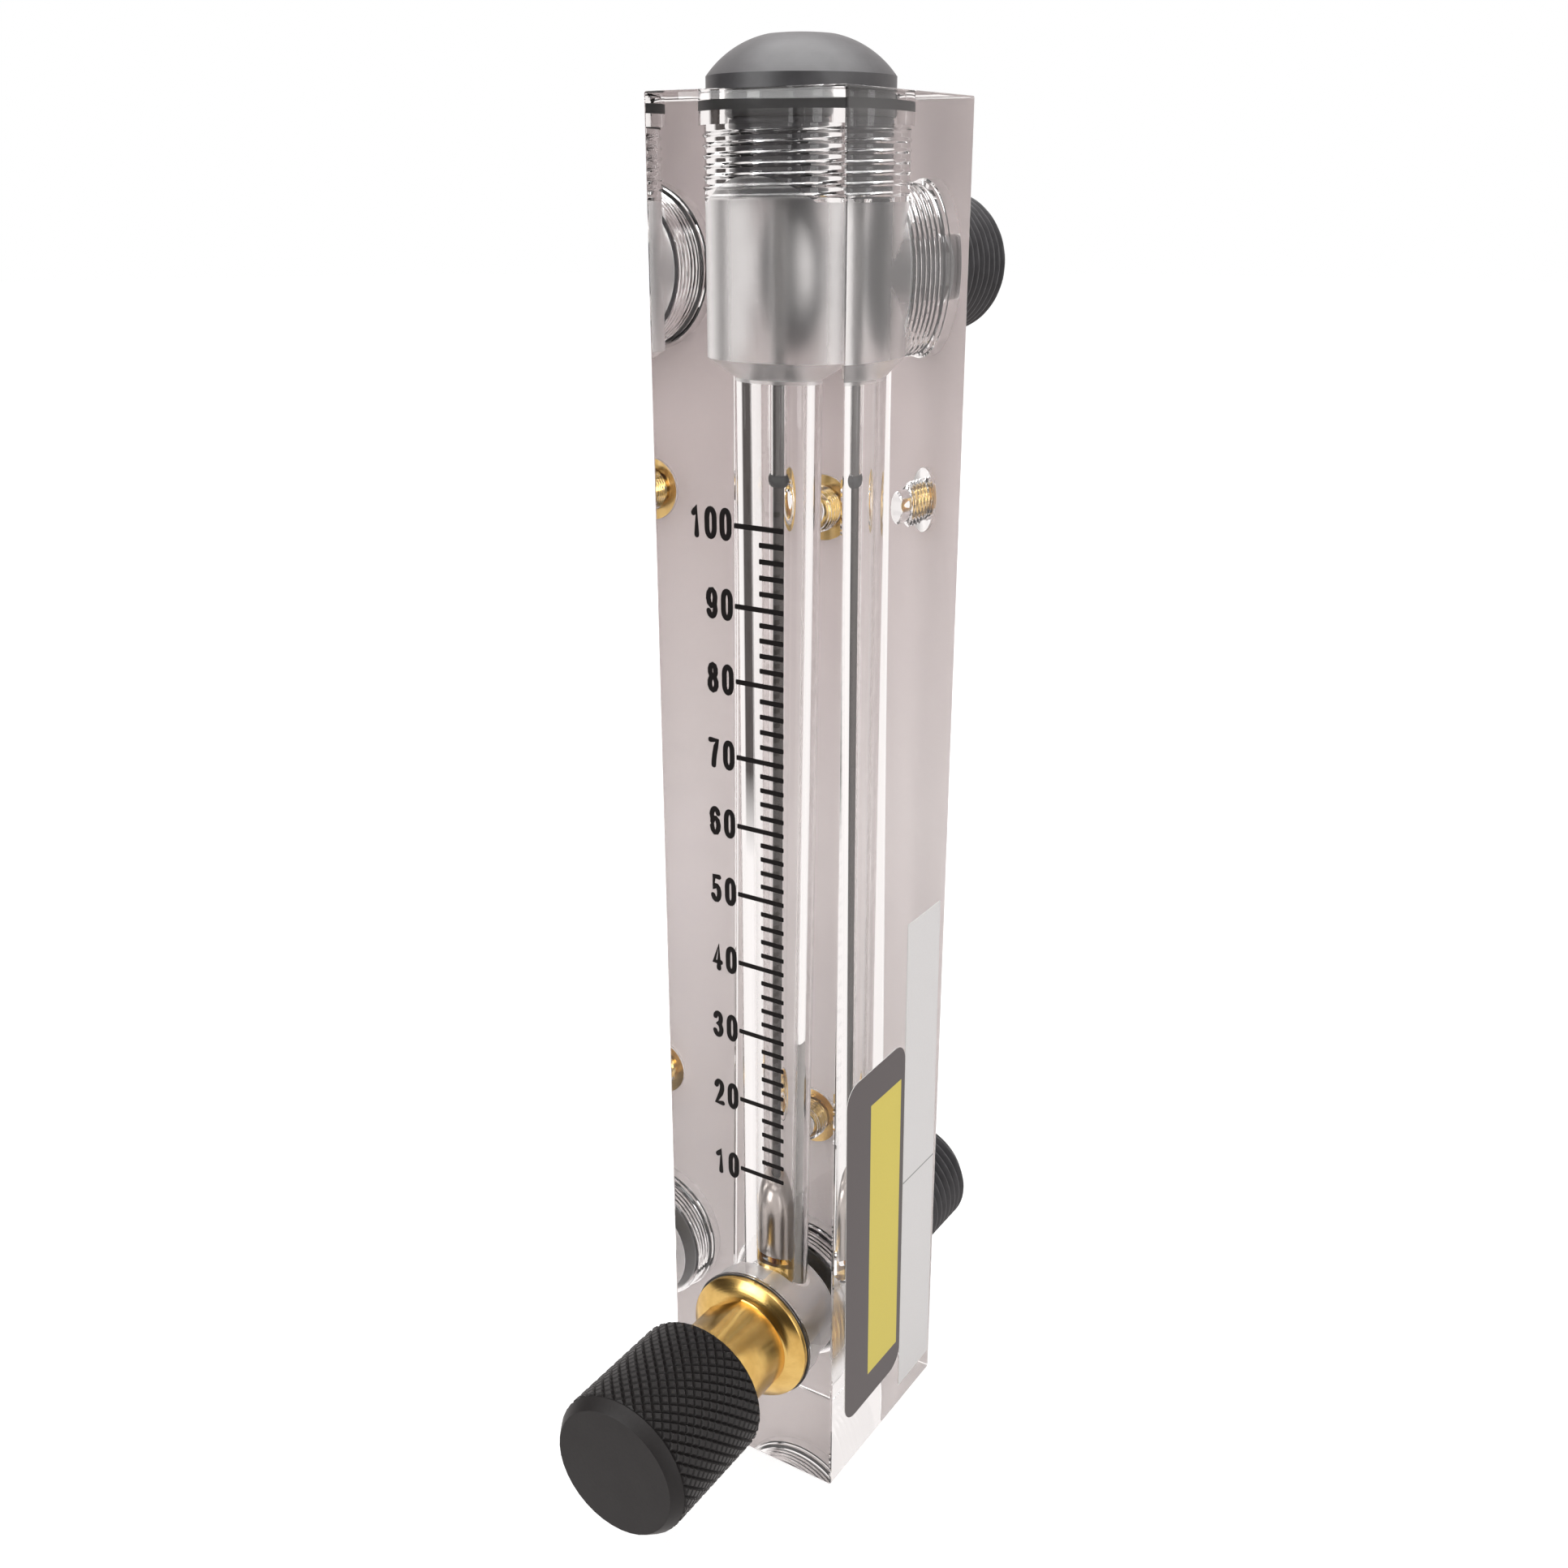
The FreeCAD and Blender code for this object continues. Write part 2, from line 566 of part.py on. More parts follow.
def make_valve_bonnet():
    neck_r = BONNET_NECK_D / 2
    groove_r = VALVE_GLAND_D / 2 - BONNET_ORING_THICKNESS - 2 * ORING_GAP
    thread_r = VALVE_THREAD_D / 2 - THREAD_CLEARANCE
    thread_bore_r = STEM_THREAD_D / 2 + STEM_RUNNING_GAP
    stem_bore_r = STEM_BORE_D / 2
    bore_step = stem_shoulder_station() + VALVE_TRAVEL + SEAT_GAP * 2
    bonnet = turned([
        (thread_bore_r, -BONNET_NOSE_END),
        (BONNET_NOSE_D / 2, -BONNET_NOSE_END),
        (BONNET_NOSE_D / 2, -BONNET_THREAD_END),
        (thread_r, -BONNET_THREAD_END),
        (thread_r, -BONNET_GROOVE_END),
        (groove_r, -BONNET_GROOVE_END),
        (groove_r, 0),
        (BONNET_FLANGE_D / 2, 0),
        (BONNET_FLANGE_D / 2, BONNET_RIM),
        (BONNET_FACE_D / 2, BONNET_PROUD),
        (neck_r, BONNET_PROUD),
        (neck_r, BONNET_NECK_END),
        (stem_bore_r, BONNET_NECK_END),
        (stem_bore_r, bore_step),
        (thread_bore_r, bore_step),
    ], VALVE, OUTWARD)
    return flats(bonnet, BONNET_NECK_FLATS, BONNET_NECK_D, BONNET_FLAT_ANGLE, VALVE, OUTWARD,
                 BONNET_PROUD, BONNET_NECK_END)


def make_bonnet_oring():
    middle = -(BONNET_ORING_START + BONNET_ORING_WIDTH / 2)
    return squeezed_oring(VALVE_GLAND_D / 2 - ORING_GAP, BONNET_ORING_THICKNESS, BONNET_ORING_WIDTH,
                          BONNET_ORING_CONTACT, VALVE, OUTWARD, middle)


def stem_shoulder_station():
    """Outer end of the stem's thread with the valve shut."""
    return STEM_THREAD_LENGTH - BONNET_NOSE_END


def make_valve_stem():
    shank_end = KNOB_STANDOFF + KNOB_RECESS_DEPTH + STEM_SHANK_LENGTH
    shank_start = KNOB_STANDOFF + KNOB_RECESS_DEPTH
    groove_half = STEM_ORING_WIDTH / 2 + GROOVE_SIDE_GAP / 2
    groove_r = STEM_D / 2 - STEM_GROOVE_DEPTH
    cone_r = SEAT_HOLE_D / 2 + SEAT_CHAMFER
    cone_base = -VALVE_BORE_DEPTH + SEAT_GAP
    cone_tip = cone_base - STEM_CONE_LENGTH
    head_out = cone_base + STEM_HEAD_LENGTH
    stem_r = STEM_D / 2
    stem = turned([
        (0, cone_tip),
        (cone_r - STEM_CONE_LENGTH, cone_tip),
        (cone_r, cone_base),
        (STEM_HEAD_D / 2, cone_base),
        (STEM_HEAD_D / 2, head_out),
        (stem_r, head_out),
        (stem_r, -BONNET_NOSE_END),
        (STEM_THREAD_D / 2, -BONNET_NOSE_END),
        (STEM_THREAD_D / 2, stem_shoulder_station()),
        (stem_r, stem_shoulder_station()),
        (stem_r, STEM_ORING_STATION - groove_half),
        (groove_r, STEM_ORING_STATION - groove_half),
        (groove_r, STEM_ORING_STATION + groove_half),
        (stem_r, STEM_ORING_STATION + groove_half),
        (stem_r, shank_start),
        (STEM_SHANK_D / 2, shank_start),
        (STEM_SHANK_D / 2, shank_end),
        (0, shank_end),
    ], VALVE, OUTWARD)
    side = screw_direction()
    flat_face = STEM_SHANK_D / 2 - STEM_FLAT_DEPTH
    tangent = OUTWARD.cross(side)
    corner = VALVE + OUTWARD * shank_start + side * flat_face - tangent * STEM_SHANK_D
    outline = [corner, corner + tangent * 2 * STEM_SHANK_D]
    outline += [outline[1] + side * STEM_SHANK_D, corner + side * STEM_SHANK_D]
    cutter = Part.Face(Part.makePolygon(outline + [corner])).extrude(OUTWARD * STEM_SHANK_LENGTH)
    return stem.cut(cutter)


def make_stem_oring():
    groove_r = STEM_D / 2 - STEM_GROOVE_DEPTH
    inner_r = groove_r + STEM_ORING_GAP
    outer_r = STEM_D / 2
    half = STEM_ORING_WIDTH / 2
    corner = (outer_r - inner_r) * 0.35
    return turned([
        (inner_r, STEM_ORING_STATION - half + corner),
        (inner_r + corner, STEM_ORING_STATION - half),
        (outer_r - corner, STEM_ORING_STATION - half),
        (outer_r, STEM_ORING_STATION - half + corner),
        (outer_r, STEM_ORING_STATION + half - corner),
        (outer_r - corner, STEM_ORING_STATION + half),
        (inner_r + corner, STEM_ORING_STATION + half),
        (inner_r, STEM_ORING_STATION + half - corner),
    ], VALVE, OUTWARD)


def make_valve_seat():
    return turned([
        (SEAT_HOLE_D / 2, VALVE_BORE_DEPTH + SEAT_THICKNESS),
        (SEAT_HOLE_D / 2, VALVE_BORE_DEPTH + SEAT_CHAMFER),
        (SEAT_HOLE_D / 2 + SEAT_CHAMFER, VALVE_BORE_DEPTH),
        (SEAT_OUTER_D / 2 - SEAT_FIT, VALVE_BORE_DEPTH),
        (SEAT_OUTER_D / 2 - SEAT_FIT, VALVE_BORE_DEPTH + SEAT_THICKNESS),
    ], VALVE, Y_AXIS)


def screw_direction():
    """Direction from the knob's axis towards the head of its set screw."""
    return FreeCAD.Rotation(Y_AXIS, -SET_SCREW_ANGLE).multVec(X_AXIS)


def screw_station():
    return KNOB_STANDOFF + KNOB_RECESS_DEPTH + STEM_SHANK_LENGTH / 2


def make_knob():
    radius = KNOB_D / 2
    recess_r = BONNET_NECK_D / 2 + KNOB_RECESS_GAP
    bore_r = STEM_SHANK_D / 2 + KNOB_BORE_GAP
    back = KNOB_STANDOFF
    front = KNOB_STANDOFF + KNOB_LENGTH
    recess_end = back + KNOB_RECESS_DEPTH
    knob = turned([
        (recess_r, back),
        (radius - KNOB_BACK_CHAMFER, back),
        (radius, back + KNOB_BACK_CHAMFER),
        (radius, front - KNOB_FACE_CHAMFER),
        (KNOB_FACE_D / 2, front),
        (0, front),
        (0, recess_end + STEM_SHANK_LENGTH),
        (bore_r, recess_end + STEM_SHANK_LENGTH),
        (bore_r, recess_end),
        (recess_r, recess_end),
    ], VALVE, OUTWARD)
    centre = VALVE + OUTWARD * screw_station()
    hole = rod(SET_SCREW_D + 2 * KNOB_BORE_GAP, centre, screw_direction(), 0, KNOB_D)
    return knob.cut(hole)


def make_knob_set_screw():
    centre = VALVE + OUTWARD * screw_station()
    side = screw_direction()
    start = STEM_SHANK_D / 2 - STEM_FLAT_DEPTH
    end = start + SET_SCREW_LENGTH
    screw = rod(SET_SCREW_D, centre, side, start, end)
    return screw.cut(hexagon(SET_SCREW_HEX, centre, side, end - SET_SCREW_HEX_DEPTH, end + 1))


def sticker(front_y, width, bottom, length, corner):
    """Thin sheet on the right face, applied slightly askew, with rounded corners if given."""
    face_x = BLOCK_WIDTH / 2
    sheet = Part.makeBox(STICKER_THICKNESS, width, length, Vector(face_x, front_y, bottom))
    if corner > 0:
        upright = [edge for edge in sheet.Edges if abs(edge.tangentAt(edge.FirstParameter).x) > 0.9]
        sheet = sheet.makeFillet(corner, upright)
    sheet.rotate(Vector(face_x, front_y + width / 2, bottom + length / 2), X_AXIS, STICKER_TILT)
    return sheet


def make_rating_sticker():
    front_y = BACK_Y - STICKER_BACK_MARGIN - RATING_STICKER_WIDTH
    return sticker(front_y, RATING_STICKER_WIDTH, RATING_STICKER_BOTTOM, RATING_STICKER_LENGTH, 0)


def make_notice_sticker():
    shift = tan(radians(STICKER_TILT)) * (RATING_STICKER_BOTTOM + RATING_STICKER_LENGTH / 2
                                          - NOTICE_STICKER_BOTTOM - NOTICE_STICKER_LENGTH / 2)
    rating_front = BACK_Y - STICKER_BACK_MARGIN - RATING_STICKER_WIDTH
    front_y = rating_front + shift - STICKER_SPACING - NOTICE_STICKER_WIDTH
    return sticker(front_y, NOTICE_STICKER_WIDTH, NOTICE_STICKER_BOTTOM, NOTICE_STICKER_LENGTH,
                   NOTICE_STICKER_CORNER)


def build_all():
    return {
        "meter_body": make_meter_body(),
        "top_plug": make_top_plug(),
        "top_plug_oring": make_top_plug_oring(),
        "guide_rod": make_guide_rod(),
        "stop_sleeve": make_stop_sleeve(),
        "stop_bumper": make_stop_bumper(),
        "float_stop": make_float_stop(),
        "float": make_float(),
        "outlet_adapter": make_adapter(OUTLET),
        "outlet_adapter_oring": make_adapter_oring(OUTLET),
        "inlet_adapter": make_adapter(INLET),
        "inlet_adapter_oring": make_adapter_oring(INLET),
        "upper_mount_insert": make_mount_insert(UPPER_INSERT_Z),
        "lower_mount_insert": make_mount_insert(LOWER_INSERT_Z),
        "valve_bonnet": make_valve_bonnet(),
        "bonnet_oring": make_bonnet_oring(),
        "valve_seat": make_valve_seat(),
        "valve_stem": make_valve_stem(),
        "stem_oring": make_stem_oring(),
        "knob": make_knob(),
        "knob_set_screw": make_knob_set_screw(),
        "rating_sticker": make_rating_sticker(),
        "notice_sticker": make_notice_sticker(),
    }


os.makedirs("parts", exist_ok=True)
for node, shape in build_all().items():
    shape.exportStep("parts/" + node + ".step")
    state = "valid" if shape.isValid() else "NOT VALID"
    print(node, state, len(shape.Solids), "volume", round(shape.Volume, 1))
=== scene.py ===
# %% [markdown]
# # A clear acrylic flow meter
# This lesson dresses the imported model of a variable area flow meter. The real object is one block
# of clear acrylic with a tapered bore, a steel float on a rod, two pipe adapters, and a brass
# valve with a knurled knob. We load the model first, so that every piece is placed from it.

# %% Load the model and keep its box
from math import atan2, cos, pi, radians, sin, tan

import bmesh
import bpy
from mathutils import Matrix, Vector


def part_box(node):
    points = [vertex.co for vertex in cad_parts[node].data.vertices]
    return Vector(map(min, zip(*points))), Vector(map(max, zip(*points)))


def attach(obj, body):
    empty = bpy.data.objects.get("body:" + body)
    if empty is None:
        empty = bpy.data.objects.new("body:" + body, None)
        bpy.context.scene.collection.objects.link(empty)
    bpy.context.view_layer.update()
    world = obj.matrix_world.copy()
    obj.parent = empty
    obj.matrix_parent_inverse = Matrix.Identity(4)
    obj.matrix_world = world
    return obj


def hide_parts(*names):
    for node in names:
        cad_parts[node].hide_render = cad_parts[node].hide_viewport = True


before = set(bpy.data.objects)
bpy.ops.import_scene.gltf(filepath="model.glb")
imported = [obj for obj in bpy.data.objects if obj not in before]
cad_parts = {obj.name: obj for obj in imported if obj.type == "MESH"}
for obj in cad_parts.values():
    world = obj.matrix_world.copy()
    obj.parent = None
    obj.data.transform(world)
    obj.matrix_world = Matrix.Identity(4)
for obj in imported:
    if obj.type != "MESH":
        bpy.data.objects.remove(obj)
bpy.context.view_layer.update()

MM = 0.001
X_AXIS = Vector((1, 0, 0))
Y_AXIS = Vector((0, 1, 0))
Z_AXIS = Vector((0, 0, 1))

# %% [markdown]
# Later pieces are placed from the model's own nodes, so we measure those here: the block's faces,
# the line of the bore, and the lines of the two ports and of the valve.

# %% Measure the model
block_low, block_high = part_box("meter_body")
FRONT_Y = block_low.y
BACK_Y = block_high.y
TOP_Z = block_high.z


def middle(node):
    low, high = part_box(node)
    return (low + high) / 2


BORE_Y = middle("guide_rod").y
OUTLET_Z = middle("outlet_adapter").z
INLET_Z = middle("inlet_adapter").z
BORE_LINE = Vector((0, BORE_Y, 0))
OUTLET_LINE = Vector((0, BACK_Y, OUTLET_Z))
INLET_LINE = Vector((0, BACK_Y, INLET_Z))
VALVE_LINE = Vector((0, FRONT_Y, INLET_Z))
INSERT_LINES = {
    name: Vector((0, BACK_Y, middle(name).z))
    for name in ("upper_mount_insert", "lower_mount_insert")
}
print("bore at y", round(BORE_Y / MM, 2))
print("ports at z", round(OUTLET_Z / MM, 2), round(INLET_Z / MM, 2))

# %% [markdown]
# Every material below is written as sums and products of sockets. This small class wraps a socket
# and adds a Math node for each operator, so that `1 - mask` reads as it would on paper. `Paint`
# makes any other node from its type, its settings and the values or links of its sockets.

# %% Node helpers


class Value:
    def __init__(self, paint, socket):
        self.paint = paint
        self.socket = socket

    def math(self, operation, other=None, clamp=False):
        inputs = {0: self} if other is None else {0: self, 1: other}
        settings = {"operation": operation, "use_clamp": clamp}
        return self.paint.add("ShaderNodeMath", settings, inputs)

    def __add__(self, other):
        return self.math("ADD", other)

    __radd__ = __add__

    def __sub__(self, other):
        return self.math("SUBTRACT", other)

    def __rsub__(self, other):
        return (self * -1) + other

    def __mul__(self, other):
        return self.math("MULTIPLY", other)

    __rmul__ = __mul__

    def __truediv__(self, other):
        return self.math("DIVIDE", other)

    def __abs__(self):
        return self.math("ABSOLUTE")

    def __gt__(self, other):
        return self.math("GREATER_THAN", other)

    def __lt__(self, other):
        return self.math("LESS_THAN", other)

    def clamp(self):
        return self.math("ADD", 0.0, clamp=True)

    def between(self, low, high):
        """1 between low and high, 0 outside."""
        return (self > low) * (self < high)

    def ramp(self, low, high):
        """0 at low, 1 at high, straight between and clamped."""
        return ((self - low) / (high - low)).clamp()


class Paint:
    """A material, or the world, and the nodes in it."""

    def __init__(self, name, world=False):
        self.block = bpy.data.worlds.new(name) if world else bpy.data.materials.new(name)
        self.block.use_nodes = True
        self.tree = self.block.node_tree
        self.tree.nodes.clear()
        end_kind = "ShaderNodeOutputWorld" if world else "ShaderNodeOutputMaterial"
        self.end = self.tree.nodes.new(end_kind)

    def add(self, kind, settings=None, inputs=None, output=0):
        node = self.tree.nodes.new(kind)
        for key, value in (settings or {}).items():
            setattr(node, key, value)
        for key, value in (inputs or {}).items():
            if isinstance(value, Value):
                self.tree.links.new(value.socket, node.inputs[key])
            else:
                node.inputs[key].default_value = value
        return Value(self, node.outputs[output])

    def place(self):
        """Object coordinates in metres, as a vector."""
        return self.add("ShaderNodeTexCoord", output="Object")

    def split(self, vector):
        node = self.add("ShaderNodeSeparateXYZ", None, {0: vector}).socket.node
        return [Value(self, socket) for socket in node.outputs]

    def mix(self, factor, first, second):
        """A colour that goes from first to second as factor goes from 0 to 1."""
        node = self.tree.nodes.new("ShaderNodeMix")
        node.data_type = "RGBA"
        for index, value in ((0, factor), (6, first), (7, second)):
            if isinstance(value, Value):
                self.tree.links.new(value.socket, node.inputs[index])
            else:
                node.inputs[index].default_value = (*value, 1)
        return Value(self, node.outputs[2])

    def noise(self, vector, scale, detail=2.0, roughness=0.5):
        inputs = {"Vector": vector, "Scale": scale, "Detail": detail, "Roughness": roughness}
        return self.add("ShaderNodeTexNoise", None, inputs)

    def scaled(self, vector, x, y, z):
        return self.add("ShaderNodeMapping", None, {"Vector": vector, "Scale": (x, y, z)})

    def bump(self, height, distance, strength=1.0):
        inputs = {"Height": height, "Distance": distance, "Strength": strength}
        return self.add("ShaderNodeBump", None, inputs)

    def surface(self, **sockets):
        """A Principled shader on the output, with its sockets named in words."""
        inputs = {}
        for key, value in sockets.items():
            name = key.replace("_", " ").title().replace("Ior", "IOR")
            if isinstance(value, tuple) and len(value) == 3 and name.endswith("Color"):
                value = (*value, 1)
            inputs[name] = value
        shader = self.add("ShaderNodeBsdfPrincipled", None, inputs)
        self.tree.links.new(shader.socket, self.end.inputs["Surface"])
        return self.block


def distance(first, second):
    """Distance from the middle, from two coordinates."""
    return (first * first + second * second).math("SQRT")


# %% [markdown]
# The acrylic is colourless, with the refractive index of acrylic, 1.49. The metering bore is
# polished after it is bored, and the threads are clear too. The plain walls of the chamber, the
# ports and the valve's bore keep the fine rings of the cutter, which frost them. So the roughness
# rises in those cylinders only, and fine scratches mark the outer faces.

# %% Acrylic
ACRYLIC_INDEX = 1.49
CHAMBER_REACH = 0.01225
CHAMBER_Z = (0.1821, TOP_Z - 0.014)
PORT_REACH = 0.01285
OUTLET_Y = (FRONT_Y + 0.001, BACK_Y - 0.0139)
INLET_Y = (FRONT_Y + 0.0014, BACK_Y - 0.0111)
POLISHED_REACH = 0.0065
SIDE_X = 0.0157
SKIN = 0.0002


def acrylic():
    paint = Paint("clear_acrylic")
    place = paint.place()
    x, y, z = paint.split(place)
    from_bore = distance(x, y - BORE_Y)
    chamber = (from_bore < CHAMBER_REACH) * z.between(*CHAMBER_Z)
    outlet = (distance(x, z - OUTLET_Z) < PORT_REACH) * y.between(*OUTLET_Y)
    inlet = (distance(x, z - INLET_Z) < PORT_REACH) * y.between(*INLET_Y)
    inlet = inlet * (from_bore > POLISHED_REACH)
    turned = chamber.math("MAXIMUM", outlet.math("MAXIMUM", inlet))
    outside = (abs(x) > SIDE_X).math("MAXIMUM", abs(y) > BACK_Y - SKIN)
    outside = outside.math("MAXIMUM", z > TOP_Z - SKIN)
    rings = paint.noise(paint.scaled(place, 40, 40, 1500), 1.0, 2.0)
    scratches = paint.noise(paint.scaled(place, 3000, 3000, 120), 1.0, 3.0)
    outer_marks = outside * scratches.ramp(0.68, 0.74) * 0.05
    roughness = turned * (0.40 + 0.08 * rings) + (1 - turned) * outer_marks
    return paint.surface(base_color=(1.0, 1.0, 1.0), roughness=roughness,
                         transmission_weight=1.0, ior=ACRYLIC_INDEX)


acrylic_material = acrylic()
print("acrylic nodes", len(acrylic_material.node_tree.nodes))

# %% [markdown]
# The opaque finishes are turned plastic, rubber, brass and steel. Turned pieces carry the fine
# rings of the lathe, made here by noise that is constant round the axis of turning. The plastic
# has a second, duller finish, `wetted_plastic`, for the faces inside the block.

# %% Opaque finishes


def turned_rings(paint, origin, axis, scale):
    """Noise that is constant round an axis: rings on a turned piece."""
    place = {key: value - getattr(origin, key)
             for key, value in zip("xyz", paint.split(paint.place()))}
    along = place.pop(axis)
    inputs = {0: distance(*place.values()) * scale, 1: along * scale}
    return paint.noise(paint.add("ShaderNodeCombineXYZ", None, inputs), 1.0, 2.0)


def dark_plastic(name, origin, axis, shine):
    paint = Paint(name)
    rings = turned_rings(paint, origin, axis, 9000)
    mottle = paint.noise(paint.place(), 500, 3.0)
    color = paint.mix(mottle.ramp(0.35, 0.65), (0.020, 0.019, 0.022), (0.030, 0.029, 0.033))
    return paint.surface(base_color=color, roughness=0.4 + 0.12 * rings, ior=1.53,
                         specular_ior_level=shine, normal=paint.bump(rings, 0.00002, 0.5))


def rubber():
    paint = Paint("black_rubber")
    grain = paint.noise(paint.place(), 2500, 3.0)
    return paint.surface(base_color=paint.mix(grain, (0.010, 0.010, 0.011), (0.018, 0.018, 0.019)),
                         roughness=0.45 + 0.15 * grain, normal=paint.bump(grain, 0.00002, 0.4))


def brass(name, origin, axis):
    paint = Paint(name)
    rings = turned_rings(paint, origin, axis, 7000)
    stain = paint.noise(paint.place(), 260, 4.0, 0.6)
    color = paint.mix(stain.ramp(0.4, 0.75), (0.80, 0.54, 0.18), (0.66, 0.41, 0.115))
    roughness = 0.12 + 0.10 * rings + 0.08 * stain
    return paint.surface(base_color=color, metallic=1.0, roughness=roughness,
                         normal=paint.bump(rings, 0.000012, 0.6))


def steel(name, color, roughness):
    paint = Paint(name)
    rings = turned_rings(paint, BORE_LINE, "z", 8000)
    cloud = paint.noise(paint.place(), 300, 3.0)
    tint = paint.mix(cloud, color, tuple(c * 0.8 for c in color))
    return paint.surface(base_color=tint, metallic=1.0, roughness=roughness + 0.08 * rings,
                         normal=paint.bump(rings, 0.00001, 0.5))


def black_knob():
    paint = Paint("black_knob")
    grain = paint.noise(paint.place(), 1800, 4.0, 0.6)
    smudge = paint.noise(paint.place(), 220, 3.0)
    color = paint.mix(grain, (0.009, 0.008, 0.008), (0.016, 0.014, 0.014))
    return paint.surface(base_color=color, roughness=0.36 + 0.14 * smudge, specular_ior_level=0.25,
                         normal=paint.bump(grain, 0.00003, 0.35))


def clear_tube():
    paint = Paint("clear_tube")
    haze = paint.noise(paint.place(), 900, 2.0)
    return paint.surface(base_color=(0.97, 0.97, 0.97), roughness=haze * 0.08,
                         transmission_weight=1.0, ior=1.46)


plug_plastic = dark_plastic("plug_plastic", BORE_LINE, "z", 0.85)
outlet_plastic = dark_plastic("outlet_plastic", OUTLET_LINE, "y", 0.6)
inlet_plastic = dark_plastic("inlet_plastic", INLET_LINE, "y", 0.6)
wetted_plastic = dark_plastic("wetted_plastic", BORE_LINE, "z", 0.2)
rubber_material = rubber()
valve_brass = brass("valve_brass", VALVE_LINE, "y")
stop_brass = brass("stop_brass", BORE_LINE, "z")
insert_brass = {name: brass(name + "_brass", line, "y") for name, line in INSERT_LINES.items()}
float_steel = steel("float_steel", (0.50, 0.45, 0.42), 0.25)
rod_steel = steel("rod_steel", (0.075, 0.066, 0.062), 0.25)
stem_steel = steel("stem_steel", (0.55, 0.54, 0.52), 0.25)
screw_steel = steel("screw_steel", (0.05, 0.05, 0.05), 0.35)
knob_material = black_knob()
tube_material = clear_tube()

# %% [markdown]
# Round pieces are lathed. We draw half of the section as a line of points, each a radius and a
# distance along the axis in millimetres, and the spin operator turns it round. Where the line
# starts and ends on the axis the solid closes itself. A ring's section closes on itself instead.

# %% Lathe helper


def across_of(axis):
    return X_AXIS if abs(axis.dot(X_AXIS)) < 0.5 else Z_AXIS


def dense(profile, step):
    """The same section with extra points, no further apart than step along the axis."""
    points = [profile[0]]
    for (r0, s0), (r1, s1) in zip(profile, profile[1:]):
        parts = max(1, int(abs(s1 - s0) / step + 0.999))
        points += [(r0 + (r1 - r0) * i / parts, s0 + (s1 - s0) * i / parts)
                   for i in range(1, parts + 1)]
    return points


def lathe(profile, origin, axis, steps=96, ring=False):
    mesh = bmesh.new()
    across = across_of(axis)
    verts = [mesh.verts.new(origin + across * r * MM + axis * s * MM) for r, s in profile]
    pairs = list(zip(verts, verts[1:])) + ([(verts[-1], verts[0])] if ring else [])
    edges = [mesh.edges.new(pair) for pair in pairs]
    bmesh.ops.spin(mesh, geom=verts + edges, cent=origin, axis=axis, dvec=(0, 0, 0), angle=2 * pi,
                   steps=steps, use_merge=True, use_duplicate=False)
    bmesh.ops.remove_doubles(mesh, verts=mesh.verts, dist=1e-6)
    bmesh.ops.recalc_face_normals(mesh, faces=mesh.faces)
    return mesh


def box_mesh(*size):
    """A box of that size in millimetres, round the origin."""
    mesh = bmesh.new()
    bmesh.ops.create_cube(mesh, size=1.0)
    bmesh.ops.scale(mesh, vec=[side * MM for side in size], verts=mesh.verts)
    return mesh


def shade(data, angle):
    """Smooth faces, with an edge kept sharp where it turns by more than the angle in degrees."""
    data.shade_smooth()
    data.set_sharp_from_angle(angle=radians(angle))


def finish(mesh, name, material, smooth_angle=35):
    data = bpy.data.meshes.new(name)
    mesh.to_mesh(data)
    mesh.free()
    piece = bpy.data.objects.new(name, data)
    bpy.context.scene.collection.objects.link(piece)
    data.materials.append(material)
    shade(data, smooth_angle)
    print(name, "faces", len(data.polygons))
    return piece


def dress(piece, body, slot, *nodes):
    """Ride on a body and stand for CAD nodes. The slot argument is not used."""
    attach(piece, body)
    if nodes:
        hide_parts(*nodes)
    return piece


# %% [markdown]
# A screw thread is cut into a lathed wall by moving its points outwards. How far depends on how
# far round and how far along each point is: one turn round must match one pitch along. The wave
# has a narrow crest, straight flanks and a flat root, and it fades out at both ends as a real
# thread does.

# %% Thread helper


def thread_wave(turns, crest, root):
    """Height of the thread from 0 to 1, for a place counted in pitches."""
    off_crest = abs((turns % 1.0) - 0.5) * 2
    return min(max((1 - root - off_crest) / (1 - root - crest), 0.0), 1.0)


def cut_thread(mesh, origin, axis, radius, depth, pitch, start, end, crest=0.12, root=0.14):
    """Move the wall of that radius outwards by the thread's height, all in millimetres."""
    across = across_of(axis)
    beside = axis.cross(across)
    fade = pitch * 0.6
    for vert in mesh.verts:
        offset = vert.co - origin
        along = offset.dot(axis) / MM
        radial = offset - axis * offset.dot(axis)
        distance = radial.length / MM
        if start <= along <= end and abs(distance - radius) < 0.02:
            angle = atan2(radial.dot(beside), radial.dot(across)) / (2 * pi)
            window = min(1.0, (along - start) / fade, (end - along) / fade)
            grown = depth * window * thread_wave(along / pitch - angle, crest, root)
            vert.co = origin + axis * along * MM + radial * ((distance + grown) / distance)
    mesh.normal_update()


# %% [markdown]
# The block starts as a cube with its edges broken. Each hollow is a lathed cutter with its own
# threads, and a Boolean modifier takes it away. The result is one closed mesh, and that matters:
# the light bends at every wall of a solid like this, so the silver look of the threads is not
# painted on, it comes from the shape. Extra rings of points on the walls keep the smoothed
# normals straight.

